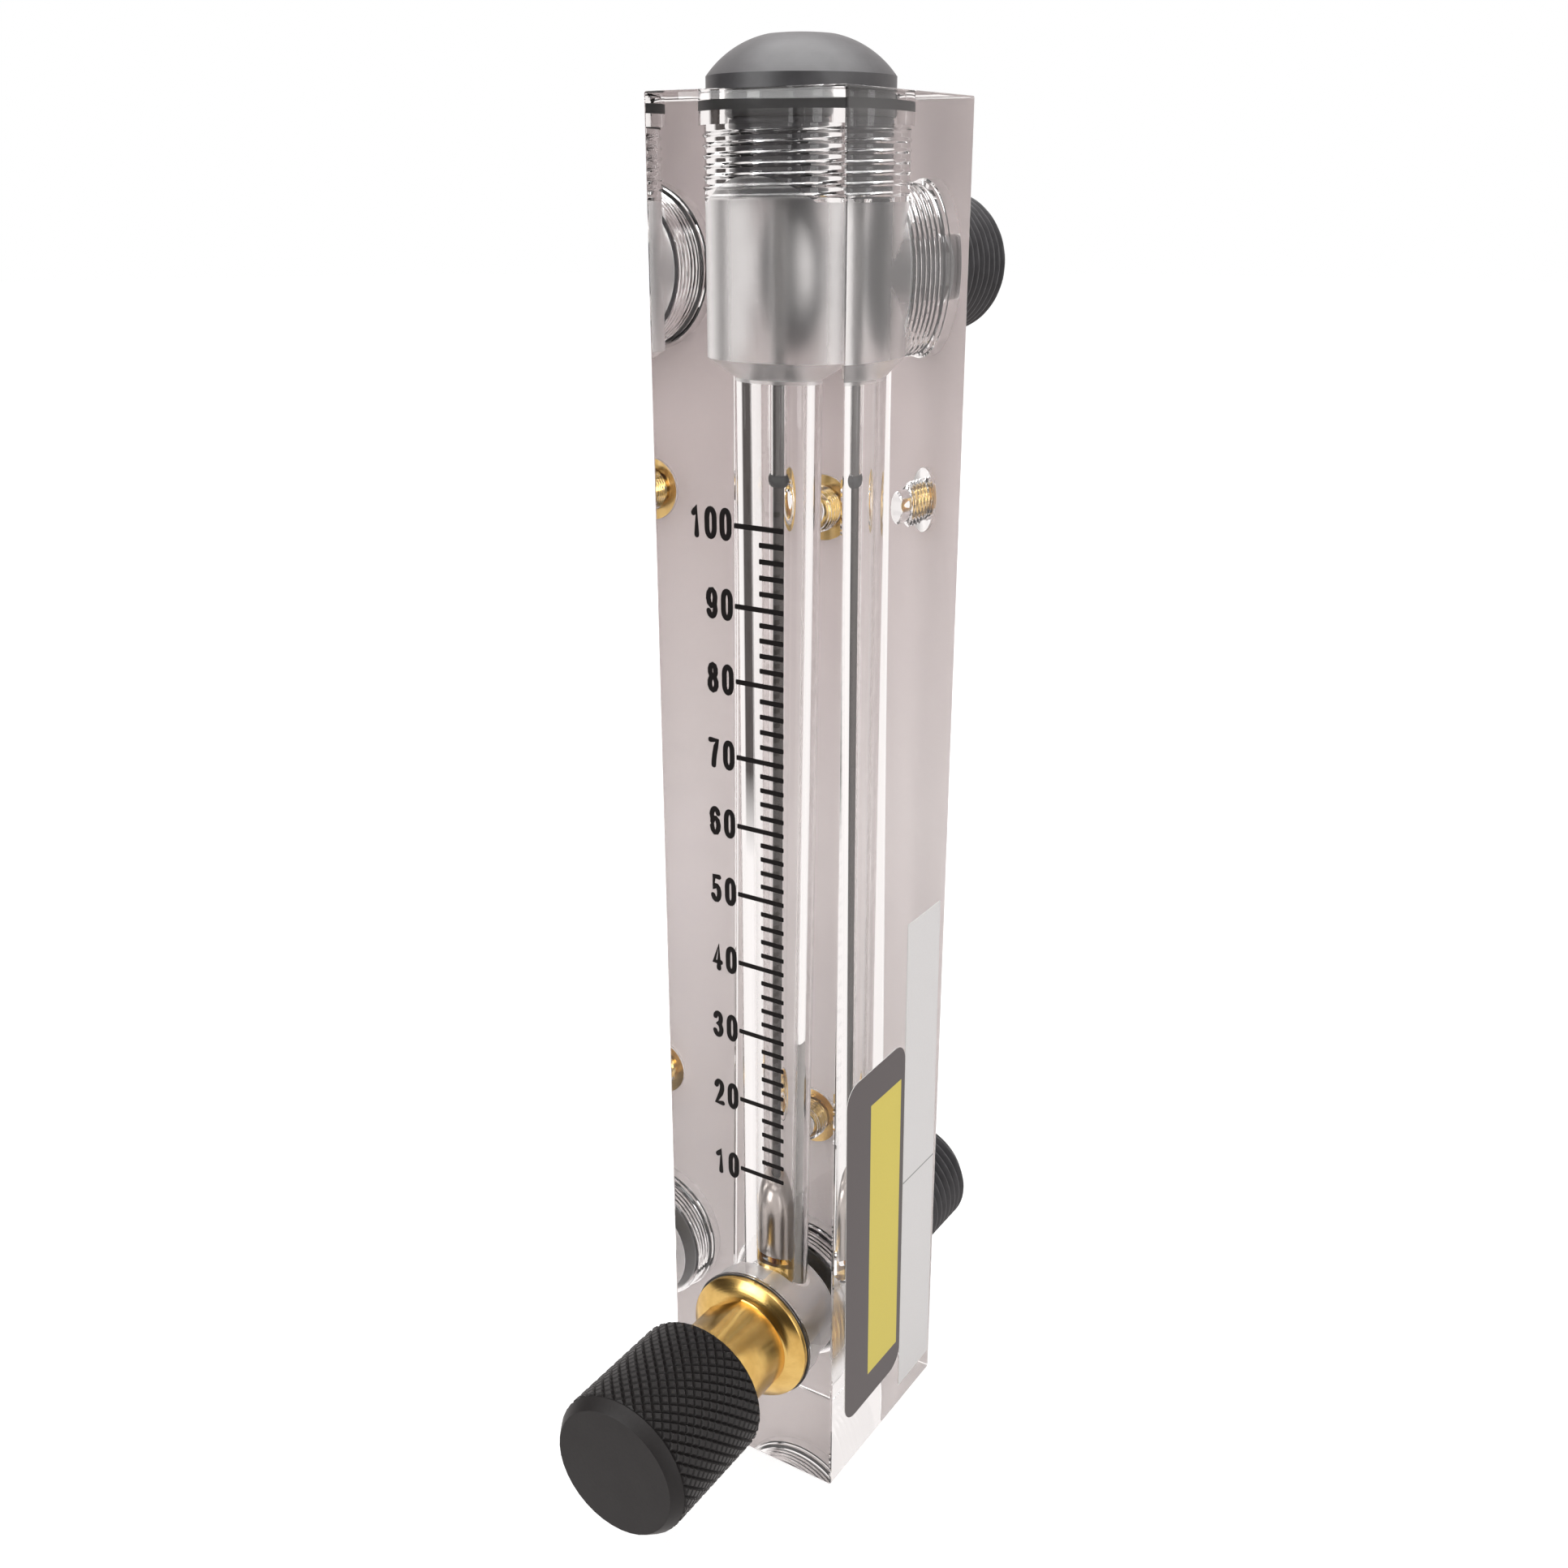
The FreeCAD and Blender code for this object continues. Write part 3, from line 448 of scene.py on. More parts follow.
# %% Thread sizes in millimetres
PLUG_PITCH = 1.34
PORT_PITCH = 1.41
VALVE_PITCH = 1.27
INSERT_PITCH = 1.0
INSERT_SCREW_PITCH = 0.79
PIPE_PITCH = 1.81
PLUG_WAVE = (0.05, 0.4)
PORT_WAVE = (0.04, 0.5)
INSERT_WAVE = (0.04, 0.04)
CUT_STEP = 0.09
BORE_BOTTOM_R = 6.0
BORE_TOP_R = 6.8
BORE_FOOT = 24.4
CAVITY_R = 11.15
PORT_R = 11.75
INSERT_HOLE_R = 2.9
CHAMBER_FLOOR = 185.2
BORE_TOP = 182.56
height_mm = TOP_Z / MM

# %% Hollows of the block


def bore_cutter():
    polished = dense([(BORE_BOTTOM_R, BORE_FOOT), (BORE_TOP_R, BORE_TOP)], 2.5)
    chamber = dense([(CAVITY_R, CHAMBER_FLOOR), (CAVITY_R, height_mm - 14.0)], 1.2)
    profile = [(0, BORE_FOOT)] + polished + chamber
    threaded = dense([(CAVITY_R, height_mm - 14.0), (CAVITY_R, height_mm - 4.3)], CUT_STEP)
    mouth = [(12.0, height_mm - 4.25), (12.0, height_mm + 1), (0, height_mm + 1)]
    mesh = lathe(profile + threaded[1:] + mouth, BORE_LINE, Z_AXIS, 128)
    cut_thread(mesh, BORE_LINE, Z_AXIS, CAVITY_R, 0.3, PLUG_PITCH,
               height_mm - 13.9, height_mm - 4.4, *PLUG_WAVE)
    return mesh


def port_cutter(line, thread_end, depth):
    mouth = [(0, 1), (12.575, 1), (12.575, -3.25), (12.3, -3.4), (12.3, -4.5)]
    threaded = dense([(PORT_R, -4.75), (PORT_R, -thread_end)], CUT_STEP)
    inner = dense([(CAVITY_R, -thread_end - 0.3), (CAVITY_R, -depth)], 1.0) + [(0, -depth)]
    mesh = lathe(mouth + threaded + inner, line, Y_AXIS, 128)
    cut_thread(mesh, line, Y_AXIS, PORT_R, 0.3, PORT_PITCH, -thread_end + 0.05, -4.8, *PORT_WAVE)
    return mesh


def valve_cutter():
    wall = dense([(10.2, 20.75), (10.2, 9.0)], 0.8) + dense([(11.0, 8.6), (11.0, 1.4)], 0.8)
    profile = [(0, 20.75)] + wall + [(11.45, 1.4), (11.45, -1), (0, -1)]
    return lathe(profile, VALVE_LINE, Y_AXIS, 160)


def seat_cutter():
    profile = [(0, 20), (7.0, 20), (7.0, 22.75), (4.2, 22.75), (4.2, 25), (0, 25)]
    return lathe(profile, VALVE_LINE, Y_AXIS, 64)


def insert_cutter(line):
    threaded = dense([(INSERT_HOLE_R, -0.95), (INSERT_HOLE_R, -5.9)], CUT_STEP)
    end = [(2.5, -6.0), (2.5, -8.7), (2.2, -9.05), (0, -9.05)]
    mesh = lathe([(0, 1), (4.97, 1), (4.97, -0.9)] + threaded + end, line, Y_AXIS, 64)
    cut_thread(mesh, line, Y_AXIS, INSERT_HOLE_R, 0.56, INSERT_PITCH, -5.85, -1.0, *INSERT_WAVE)
    return mesh


cutters = [
    bore_cutter(),
    port_cutter(OUTLET_LINE, 13.75, 21.0),
    port_cutter(INLET_LINE, 10.9, 11.25),
    valve_cutter(),
    seat_cutter(),
] + [insert_cutter(line) for line in INSERT_LINES.values()]
print("cutters", [len(mesh.faces) for mesh in cutters])

# %% [markdown]
# Nothing behind the block shows through its back face in the photograph, though the inserts in
# it do. So that face carries a thin pale coat, and seen from the front it is the warm grey behind
# the scale. Its colour is partly painted shade: it is darker towards the top, standing in for the
# light that falls on it through the block. It is a second material on the same mesh.

# %% Coat of the back face


def back_coat():
    paint = Paint("back_coat")
    mottle = paint.noise(paint.place(), 180, 4.0, 0.6)
    fine = paint.noise(paint.place(), 4000, 2.0)
    x, y, z = paint.split(paint.place())
    # Painted shade: the coat's colour darkens from 0.11 m up to 0.17 m and stays darker above, for
    # how the light through the block falls on it.
    low = paint.mix(mottle, (0.950, 0.868, 0.858), (0.965, 0.885, 0.875))
    high = paint.mix(mottle, (0.81, 0.700, 0.690), (0.84, 0.730, 0.720))
    return paint.surface(base_color=paint.mix(z.ramp(0.11, 0.17), low, high),
                         roughness=0.55 + 0.15 * fine, normal=paint.bump(fine, 0.00001, 0.3))


coat_material = back_coat()

# %% Block
BROKEN_EDGE = 0.3


def carve(name, solid, cutters, angle, *materials):
    """Take each cutter away from the solid, and give the piece its shading and materials."""
    data = bpy.data.meshes.new(name)
    solid.to_mesh(data)
    solid.free()
    piece = bpy.data.objects.new(name, data)
    bpy.context.scene.collection.objects.link(piece)
    helpers = []
    for index, cutter in enumerate(cutters):
        cut_data = bpy.data.meshes.new(f"{name}_cutter_{index}")
        cutter.to_mesh(cut_data)
        cutter.free()
        helper = bpy.data.objects.new(cut_data.name, cut_data)
        bpy.context.scene.collection.objects.link(helper)
        boolean = piece.modifiers.new(f"cut_{index}", "BOOLEAN")
        boolean.operation = "DIFFERENCE"
        boolean.solver = "MANIFOLD"
        boolean.object = helper
        helpers.append(helper)
    bpy.context.view_layer.update()
    evaluated = piece.evaluated_get(bpy.context.evaluated_depsgraph_get())
    carved = bpy.data.meshes.new_from_object(evaluated)
    piece.modifiers.clear()
    carved.materials.clear()
    piece.data = carved
    bpy.data.meshes.remove(data)
    for helper in helpers:
        bpy.data.meshes.remove(helper.data)
    for material in materials:
        carved.materials.append(material)
    shade(carved, angle)
    return piece


def acrylic_block():
    solid = bmesh.new()
    bmesh.ops.create_cube(solid, size=1.0)
    size = block_high - block_low
    bmesh.ops.scale(solid, vec=size, verts=solid.verts)
    bmesh.ops.translate(solid, vec=(block_low + block_high) / 2, verts=solid.verts)
    bmesh.ops.bevel(solid, geom=solid.edges[:], offset=BROKEN_EDGE * MM, affect="EDGES",
                    segments=2, profile=0.5, material=-1)
    piece = carve("acrylic_block", solid, cutters, 38, acrylic_material, coat_material)
    margin = Vector((1, 1, 1)) * (BROKEN_EDGE + 0.02) * MM
    inner_low, inner_high = block_low + margin, block_high - margin
    for face in piece.data.polygons:
        face.use_smooth = all(inner_low[i] < face.center[i] < inner_high[i] for i in range(3))
        if face.center.y > BACK_Y - 0.01 * MM and face.normal.y > 0.9:
            face.material_index = 1
    print("acrylic_block faces", len(piece.data.polygons))
    return piece


dress(acrylic_block(), "block", "acrylic", "meter_body")

# %% [markdown]
# The plug closes the chamber. It is turned from dark plastic, with a domed head, a neck for its
# O-ring and a thread that fills the thread of the block with a little air between them. A
# six-sided socket in the dome takes the key.

# %% Plug
PLUG_R = 11.0
KEY_R = 4.62


def arc(start, end, bulge, count):
    """Points on a curve from start to end that stands off the straight line by bulge."""
    (r0, s0), (r1, s1) = start, end
    length = ((r1 - r0) ** 2 + (s1 - s0) ** 2) ** 0.5
    out_r, out_s = -(s1 - s0) / length, (r1 - r0) / length
    radius = (length / 2) ** 2 / (2 * bulge) + bulge / 2
    half = length / 2
    points = []
    for i in range(count + 1):
        t = -half + length * i / count
        rise = (radius ** 2 - t ** 2) ** 0.5 - (radius - bulge)
        points.append(((r0 + r1) / 2 + (r1 - r0) * t / length + out_r * rise,
                       (s0 + s1) / 2 + (s1 - s0) * t / length + out_s * rise))
    return points


def plug():
    top = height_mm
    shoulder = arc((5.0, top + 7.1), (13.0, top + 1.9), 0.86, 24)
    crown = arc((0.0, top + 7.4), (5.0, top + 7.1), 0.075, 6)
    head = crown + shoulder[1:] + [(13.0, top), (10.08, top)]
    neck = [(10.08, top - 3.6)]
    threaded = dense([(PLUG_R, top - 3.6), (PLUG_R, top - 13.1)], CUT_STEP)
    foot = [(10.7, top - 13.6), (1.37, top - 13.6), (1.37, top - 7.1), (0, top - 7.1)]
    mesh = lathe(head + neck + threaded + foot, BORE_LINE, Z_AXIS, 128)
    cut_thread(mesh, BORE_LINE, Z_AXIS, PLUG_R, 0.3, PLUG_PITCH, top - 13.1, top - 3.7, *PLUG_WAVE)
    key = bmesh.new()
    bmesh.ops.create_cone(key, cap_ends=True, segments=6, radius1=KEY_R * MM, radius2=KEY_R * MM,
                          depth=9 * MM)
    bmesh.ops.translate(key, vec=BORE_LINE + Z_AXIS * (top + 7.4) * MM, verts=key.verts)
    piece = carve("domed_plug", mesh, [key], 35, plug_plastic, wetted_plastic)
    for face in piece.data.polygons:
        face.material_index = 1 if face.center.z < TOP_Z - 0.05 * MM else 0
    return piece


dress(plug(), "block", "dark_plastic", "top_plug")

# %% [markdown]
# The O-rings look black through the acrylic only where they are pressed against it, because
# there is no air left there to mirror the light. So the plug's ring and the bonnet's ring reach
# into the wall by two hundredths of a millimetre. The adapters' rings stay clear of it.

# %% Plug O-ring


def squeezed_ring(name, outer, inner, low, high, origin, axis, end=None):
    """A rubber ring flattened on its inner and outer sides, its ends rounded over a length."""
    half = (outer - inner) / 2
    end = end or half
    count = 8
    profile = []
    for first, station in ((0, high - end), (pi, low + end)):
        for i in range(count + 1):
            angle = first + pi * i / count
            profile.append(((outer + inner) / 2 + half * cos(angle), station + end * sin(angle)))
    mesh = lathe(profile, origin, axis, 128, ring=True)
    return finish(mesh, name, rubber_material, 60)


plug_ring = squeezed_ring("plug_ring", 12.02, 10.12, height_mm - 3.35, height_mm - 0.35,
                          BORE_LINE, Z_AXIS)
dress(plug_ring, "block", "black_rubber", "top_plug_oring")

# %% [markdown]
# Both pipe adapters are the same turned piece of dark plastic: a straight thread inside the
# block, a flange that covers the mouth, two flats for a wrench, and a pipe thread outside. The
# flats lie between the flange and the pipe thread, and a Boolean cuts them as a mill would.

# %% Pipe adapters
ADAPTER_R = 11.65
PIPE_ROOT_R = 9.85
PIPE_START = 8.1
PIPE_END = 23.6
FLAT_X = 9.5
FLAT_BLOCK = 6


def adapter(name, line, material):
    inside = dense([(ADAPTER_R, -9.3), (ADAPTER_R, -3.5)], CUT_STEP)
    flange = [(10.64, -3.4), (10.64, -0.55), (12.475, -0.55), (12.475, 0.4)]
    neck = [(10.5, 0.45), (10.5, PIPE_START - 0.05)]
    pipe = dense([(PIPE_ROOT_R, PIPE_START), (PIPE_ROOT_R, PIPE_END)], CUT_STEP)
    end = [(9.75, 24.25), (9.3, 24.5), (6.5, 24.5)]
    profile = [(6.5, -9.3)] + inside + flange + neck + pipe + end
    mesh = lathe(profile, line, Y_AXIS, 112, ring=True)
    cut_thread(mesh, line, Y_AXIS, ADAPTER_R, 0.28, PORT_PITCH, -9.2, -3.6, *PORT_WAVE)
    cut_thread(mesh, line, Y_AXIS, PIPE_ROOT_R, 1.05, PIPE_PITCH, PIPE_START - 0.9, PIPE_END + 0.9)
    cutters = []
    for side in (1, -1):
        flat = box_mesh(FLAT_BLOCK, PIPE_START - 0.5, 30)
        centre = line + X_AXIS * side * (FLAT_X + FLAT_BLOCK / 2) * MM
        centre += Y_AXIS * (0.45 + (PIPE_START - 0.5) / 2) * MM
        bmesh.ops.translate(flat, vec=centre, verts=flat.verts)
        cutters.append(flat)
    piece = carve(name, mesh, cutters, 40, material, wetted_plastic)
    for face in piece.data.polygons:
        face.material_index = 1 if face.center.y < BACK_Y else 0
    return piece


outlet_fitting = adapter("outlet_fitting", OUTLET_LINE, outlet_plastic)
inlet_fitting = adapter("inlet_fitting", INLET_LINE, inlet_plastic)
dress(outlet_fitting, "block", "dark_plastic", "outlet_adapter")
dress(inlet_fitting, "block", "dark_plastic", "inlet_adapter")

# %% [markdown]
# Two brass inserts in the back take the mounting screws. Each has a flange let into the back
# face, a thread outside that bites the acrylic, and a finer thread inside for the screw.

# %% Mounting inserts
INSERT_R = 2.85
INSERT_SCREW_R = 2.1


def mount_insert(name, line):
    outside = dense([(INSERT_R, -0.9), (INSERT_R, -5.9)], CUT_STEP)
    inside = dense([(INSERT_SCREW_R, -5.9), (INSERT_SCREW_R, -0.4)], CUT_STEP)
    profile = [(2.5, 0), (4.95, 0), (4.95, -0.9)] + outside + inside
    mesh = lathe(profile, line, Y_AXIS, 64, ring=True)
    cut_thread(mesh, line, Y_AXIS, INSERT_R, 0.56, INSERT_PITCH, -5.85, -1.0, *INSERT_WAVE)
    cut_thread(mesh, line, Y_AXIS, INSERT_SCREW_R, 0.3, INSERT_SCREW_PITCH, -5.85, -0.5)
    return finish(mesh, name + "_threaded", insert_brass[name], 40)


for name, line in INSERT_LINES.items():
    dress(mount_insert(name, line), "block", "brass", name)

# %% [markdown]
# The knob is black, with a diamond knurl. We spin a row of points into a tube whose square faces
# are as wide as the knurl's points are apart. Poking each face and dissolving the old edges
# leaves diamonds, and an inset on each diamond leaves a flat pad with a groove round it.

# %% Knob helpers
OUT = -Y_AXIS


def split_place(vert):
    """A point's distance along the valve's axis in millimetres, and its direction from it."""
    offset = vert.co - VALVE_LINE
    along = offset.dot(OUT)
    return along / MM, (offset - OUT * along).normalized()


def set_radius(vert, radius, station=None):
    """Move a point to that radius, and to that station if there is one."""
    along, direction = split_place(vert)
    station = along if station is None else station
    vert.co = VALVE_LINE + (OUT * station + direction * radius) * MM


def grow_ring(mesh, edges, radius, station):
    """Extrude a ring of edges and put the new ring at that radius and station."""
    made = bmesh.ops.extrude_edge_only(mesh, edges=edges)["geom"]
    verts = {item for item in made if isinstance(item, bmesh.types.BMVert)}
    for vert in verts:
        set_radius(vert, radius, station)
    new_edges = [item for item in made if isinstance(item, bmesh.types.BMEdge)]
    return [edge for edge in new_edges if set(edge.verts) <= verts]


# %% Knob
KNOB_R = 12.0
KNOB_BACK = 14.9
KNOB_FRONT = 37.85
KNURL_COLUMNS = 38
KNURL_ROWS = 10
GROOVE_WIDTH = 0.3
GROOVE_DEPTH = 0.42
RECESS_END = KNOB_BACK + 8.0
FRONT_RINGS = ((KNOB_R - 0.1, KNOB_FRONT - 1.85), (10.75, KNOB_FRONT - 0.1),
               (10.62, KNOB_FRONT), (10.3, KNOB_FRONT), (6.0, KNOB_FRONT))
BACK_RINGS = ((11.7, KNOB_BACK + 0.35), (11.4, KNOB_BACK), (8.6, KNOB_BACK),
              (8.55, KNOB_BACK + 0.1), (8.55, RECESS_END), (3.2, RECESS_END),
              (3.2, KNOB_BACK + 19.0))


def knurled_tube():
    start, end = KNOB_BACK + 0.45, KNOB_FRONT - 2.0
    mesh = bmesh.new()
    across = across_of(OUT)
    stations = [start + (end - start) * i / KNURL_ROWS for i in range(KNURL_ROWS + 1)]
    verts = [mesh.verts.new(VALVE_LINE + (across * KNOB_R + OUT * s) * MM) for s in stations]
    edges = [mesh.edges.new(pair) for pair in zip(verts, verts[1:])]
    bmesh.ops.spin(mesh, geom=verts + edges, cent=VALVE_LINE, axis=OUT, dvec=(0, 0, 0),
                   angle=2 * pi, steps=KNURL_COLUMNS, use_merge=True, use_duplicate=False)
    bmesh.ops.remove_doubles(mesh, verts=mesh.verts, dist=1e-6)
    grid_edges = [edge for edge in mesh.edges if len(edge.link_faces) == 2]
    centres = bmesh.ops.poke(mesh, faces=mesh.faces[:])["verts"]
    for vert in centres:
        set_radius(vert, KNOB_R)
    bmesh.ops.dissolve_edges(mesh, edges=grid_edges, use_verts=False)
    bmesh.ops.inset_individual(mesh, faces=mesh.faces[:], thickness=GROOVE_WIDTH * MM, depth=0.0,
                               use_even_offset=True)
    for vert in mesh.verts:
        if len(vert.link_faces) > 3:
            set_radius(vert, KNOB_R - GROOVE_DEPTH)
    return mesh


def knob_screw_hole():
    """A cutter along the set screw, from near the axis to past the knob's side."""
    low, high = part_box("knob_set_screw")
    screw = (low + high) / 2
    direction = Vector((screw.x, 0, screw.z - VALVE_LINE.z)).normalized()
    start = Vector((0, screw.y, VALVE_LINE.z)) + direction * 1.0 * MM
    return lathe([(0, 0), (1.52, 0), (1.52, 14), (0, 14)], start, direction, 32)


def knob():
    mesh = knurled_tube()
    open_edges = [edge for edge in mesh.edges if edge.is_boundary]
    half_way = (KNOB_BACK + KNOB_FRONT) / 2
    front = [edge for edge in open_edges if split_place(edge.verts[0])[0] > half_way]
    back = [edge for edge in open_edges if edge not in front]
    for edges, rings in ((front, FRONT_RINGS), (back, BACK_RINGS)):
        for radius, station in rings:
            edges = grow_ring(mesh, edges, radius, station)
        bmesh.ops.edgeloop_fill(mesh, edges=edges)
    bmesh.ops.recalc_face_normals(mesh, faces=mesh.faces)
    piece = carve("knurled_knob", mesh, [knob_screw_hole()], 24, knob_material)
    print("knurled_knob faces", len(piece.data.polygons))
    return piece


dress(knob(), "handwheel", "knob_plastic", "knob")

# %% [markdown]
# The brass bonnet is screwed into the front of the block behind its own O-ring. Its flange and
# its neck stand out, and the brass inside shows faintly through the frosted wall of its bore.
# Two flats on the neck are for a wrench.

# %% Bonnet
BONNET_R = 10.15
BONNET_FLAT = 7.15
BONNET_TURN = radians(123)
FLAT_LENGTH = 21


def bonnet():
    inside = [(4.05, -22.3), (4.05, 1.5), (5.05, 2.0), (5.05, 8.9), (7.5, 8.9), (7.5, 8.25)]
    threaded = dense([(BONNET_R, 8.2), (BONNET_R, 1.15)], CUT_STEP)
    flange = [(10.21, 1.1), (10.21, 0.0), (11.1, 0.0), (11.15, -0.05), (11.15, -0.82),
              (11.08, -0.93), (8.5, -2.06), (8.25, -2.12)]
    neck = [(8.1, -2.25), (8.1, -22.0), (7.8, -22.3)]
    mesh = lathe(inside + threaded + flange + neck, VALVE_LINE, Y_AXIS, 112, ring=True)
    cut_thread(mesh, VALVE_LINE, Y_AXIS, BONNET_R, 0.72, VALVE_PITCH, 1.2, 8.2)
    side = X_AXIS * cos(BONNET_TURN) + Z_AXIS * sin(BONNET_TURN)
    turn = Matrix.Rotation(-BONNET_TURN, 3, "Y")
    cutters = []
    for sign in (1, -1):
        flat = box_mesh(FLAT_BLOCK, FLAT_LENGTH, 30)
        bmesh.ops.rotate(flat, cent=(0, 0, 0), matrix=turn, verts=flat.verts)
        centre = VALVE_LINE + side * sign * (BONNET_FLAT + FLAT_BLOCK / 2) * MM
        centre += OUT * (2.1 + FLAT_LENGTH / 2) * MM
        bmesh.ops.translate(flat, vec=centre, verts=flat.verts)
        cutters.append(flat)
    return carve("threaded_bonnet", mesh, cutters, 35, valve_brass)


dress(bonnet(), "block", "brass", "valve_bonnet")
bonnet_ring = squeezed_ring("bonnet_ring", 11.47, 10.27, 0.03, 1.03, VALVE_LINE, Y_AXIS, 0.2)
dress(bonnet_ring, "block", "black_rubber", "bonnet_oring")

# %% [markdown]
# The float is turned from stainless steel and slides on the rod. The edge where its nose begins
# is where the scale is read, and the nose is a quarter of an ellipse. Above it, a clear sleeve and
# a small rubber bumper set the top of its travel.

# %% Float and its stops
FLOAT_R = 5.75
FLOAT_EDGE = 7.7
FLOAT_LENGTH = 13.5
FLOAT_TIP_R = 1.9


def turned_piece(name, profile, material, body, slot, node, steps=96):
    piece = finish(lathe(profile, BORE_LINE, Z_AXIS, steps, ring=True), name, material)
    return dress(piece, body, slot, node)


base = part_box("float")[0].z / MM
float_profile = [(1.55, base + FLOAT_LENGTH), (1.55, base), (5.4, base), (FLOAT_R, base + 0.35)]
for i in range(19):
    angle = pi / 2 * i / 18
    float_profile.append((FLOAT_TIP_R + (FLOAT_R - FLOAT_TIP_R) * cos(angle),
                          base + FLOAT_EDGE + (FLOAT_LENGTH - FLOAT_EDGE) * sin(angle)))
turned_piece("turned_float", float_profile, float_steel, "float_body", "stainless", "float")

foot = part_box("stop_bumper")[0].z / MM
bumper_profile = [(1.37, foot), (1.85, foot), (2.3, foot + 0.35), (2.5, foot + 0.85),
                  (2.45, foot + 1.3), (2.15, foot + 1.7), (1.37, foot + 1.7)]
turned_piece("rubber_bumper", bumper_profile, rubber_material, "block", "black_rubber",
             "stop_bumper")
sleeve_low, sleeve_high = foot + 1.75, height_mm - 13.65
sleeve_profile = [(1.41, sleeve_low), (1.9, sleeve_low), (1.9, sleeve_high), (1.41, sleeve_high)]
turned_piece("clear_sleeve", sleeve_profile, tube_material, "block", "clear_tube", "stop_sleeve")

rod_low, rod_high = (corner.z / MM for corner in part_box("guide_rod"))
rod_profile = [(0.02, rod_low), (1.2, rod_low), (1.35, rod_low + 0.15), (1.35, rod_high),
               (0.02, rod_high)]
turned_piece("polished_rod", rod_profile, rod_steel, "block", "dark_steel", "guide_rod", steps=48)

# %% [markdown]
# The remaining nodes are right as they are: the stem, the seat, the lower stop, the set screw and
# the small rings. They keep their meshes and get a finish in their own slots.

# %% Finishes for the model's own nodes


def paint_node(name, material):
    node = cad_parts[name]
    node.data.materials.clear()
    node.data.materials.append(material)


paint_node("valve_stem", stem_steel)
paint_node("valve_seat", valve_brass)
paint_node("float_stop", stop_brass)
paint_node("knob_set_screw", screw_steel)
for name in ("stem_oring", "outlet_adapter_oring", "inlet_adapter_oring"):
    paint_node(name, rubber_material)

# %% [markdown]
# The scale is printed on the front face, from 10 to 100. Each mark is a thin relief of ink. A
# numeral is a stroke of one width with round ends, so we draw its centre line as a curve with a
# round bevel, make that a mesh, and flatten it.

# %% Strokes of the numerals


def bend(x, z, rx, rz, start, end, count=10):
    """Points on an ellipse from one angle to another, in degrees."""
    angles = [radians(start + (end - start) * i / count) for i in range(count + 1)]
    return [(x + rx * cos(a), z + rz * sin(a)) for a in angles]


STROKES = {
    "0": [bend(.5, .70, .5, .30, 180, 0) + bend(.5, .30, .5, .30, 0, -180) + [(0, .70)]],
    "1": [[(.10, .80), (.42, .90), (.60, 1), (.60, 0)]],
    "2": [bend(.49, .73, .47, .27, 165, -25) + [(.74, .44), (.03, 0), (1, 0)]],
    "3": [bend(.47, .76, .44, .24, 160, -75) + [(.42, .52)] + bend(.47, .27, .5, .26, 70, -160)],
    "4": [[(.74, 0), (.74, 1), (.0, .27), (1, .27)]],
    "5": [[(.92, 1), (.18, 1), (.08, .52)] + bend(.47, .31, .5, .31, 130, -155)],
    "6": [bend(.5, .31, .5, .31, 150, -210) + [(.01, .45)] + bend(.5, .70, .5, .30, 175, 25)],
    "7": [[(0, 1), (1, 1), (.78, .76), (.58, .46), (.46, .2), (.42, 0)]],
    "8": [bend(.5, .76, .42, .24, -90, 270), bend(.5, .26, .5, .26, 90, -270)],
    "9": [bend(.5, .69, .5, .31, -30, 330) + [(.99, .55)] + bend(.5, .30, .5, .30, -5, -155)],
}
STROKE = 0.92
DIGIT_HEIGHT = 4.85


def stroke_curve(digit, left, width, z_middle):
    curve = bpy.data.curves.new("stroke", "CURVE")
    curve.dimensions = "3D"
    curve.bevel_depth = STROKE / 2
    curve.bevel_resolution = 3
    curve.use_fill_caps = True
    run_x, run_z = width - STROKE, DIGIT_HEIGHT - STROKE
    for path in STROKES[digit]:
        points = [Vector((left + STROKE / 2 + x * run_x, 0, z_middle + (z - 0.5) * run_z))
                  for x, z in path]
        first = (points[0] - points[1]).normalized() * STROKE / 2
        last = (points[-1] - points[-2]).normalized() * STROKE / 2
        ends = [(sin(a), cos(a)) for a in (radians(80), radians(55), radians(30))]
        row = [(points[0] + first * out, radius) for out, radius in ends]
        row += [(point, 1.0) for point in points]
        row += [(points[-1] + last * out, radius) for out, radius in reversed(ends)]
        spline = curve.splines.new("POLY")
        spline.points.add(len(row) - 1)
        for target, (place, radius) in zip(spline.points, row):
            target.co = (*place, 1)
            target.radius = radius
    return curve


def add_digit(mesh, digit, left, width, z_middle):
    holder = bpy.data.objects.new("stroke", stroke_curve(digit, left, width, z_middle))
    bpy.context.scene.collection.objects.link(holder)
    flat = bpy.data.meshes.new_from_object(holder)
    flatten = Matrix.Diagonal((MM, 0.08 * MM, MM, 1))
    flat.transform(Matrix.Translation((0, FRONT_Y, 0)) @ flatten)
    mesh.from_mesh(flat)
    curve = holder.data
    bpy.data.objects.remove(holder)
    bpy.data.curves.remove(curve)
    bpy.data.meshes.remove(flat)


# %% Marks of the scale
SCALE_TENS = [56.8, 69.8, 82.2, 94.2, 105.9, 117.15, 128.15, 139.9, 151.2, 162.9]
LONG_TICK = (-1.9, 6.42)
SHORT_TICK = (2.3, 6.42)
TICK_HEIGHT = 0.76
INK = 0.06
DIGIT_PLACES = {
    2: [(-7.03, 2.13), (-4.38, 2.15)],
    3: [(-9.47, 1.9), (-7.05, 2.19), (-4.45, 2.15)],
}
print("scale heights", SCALE_TENS)


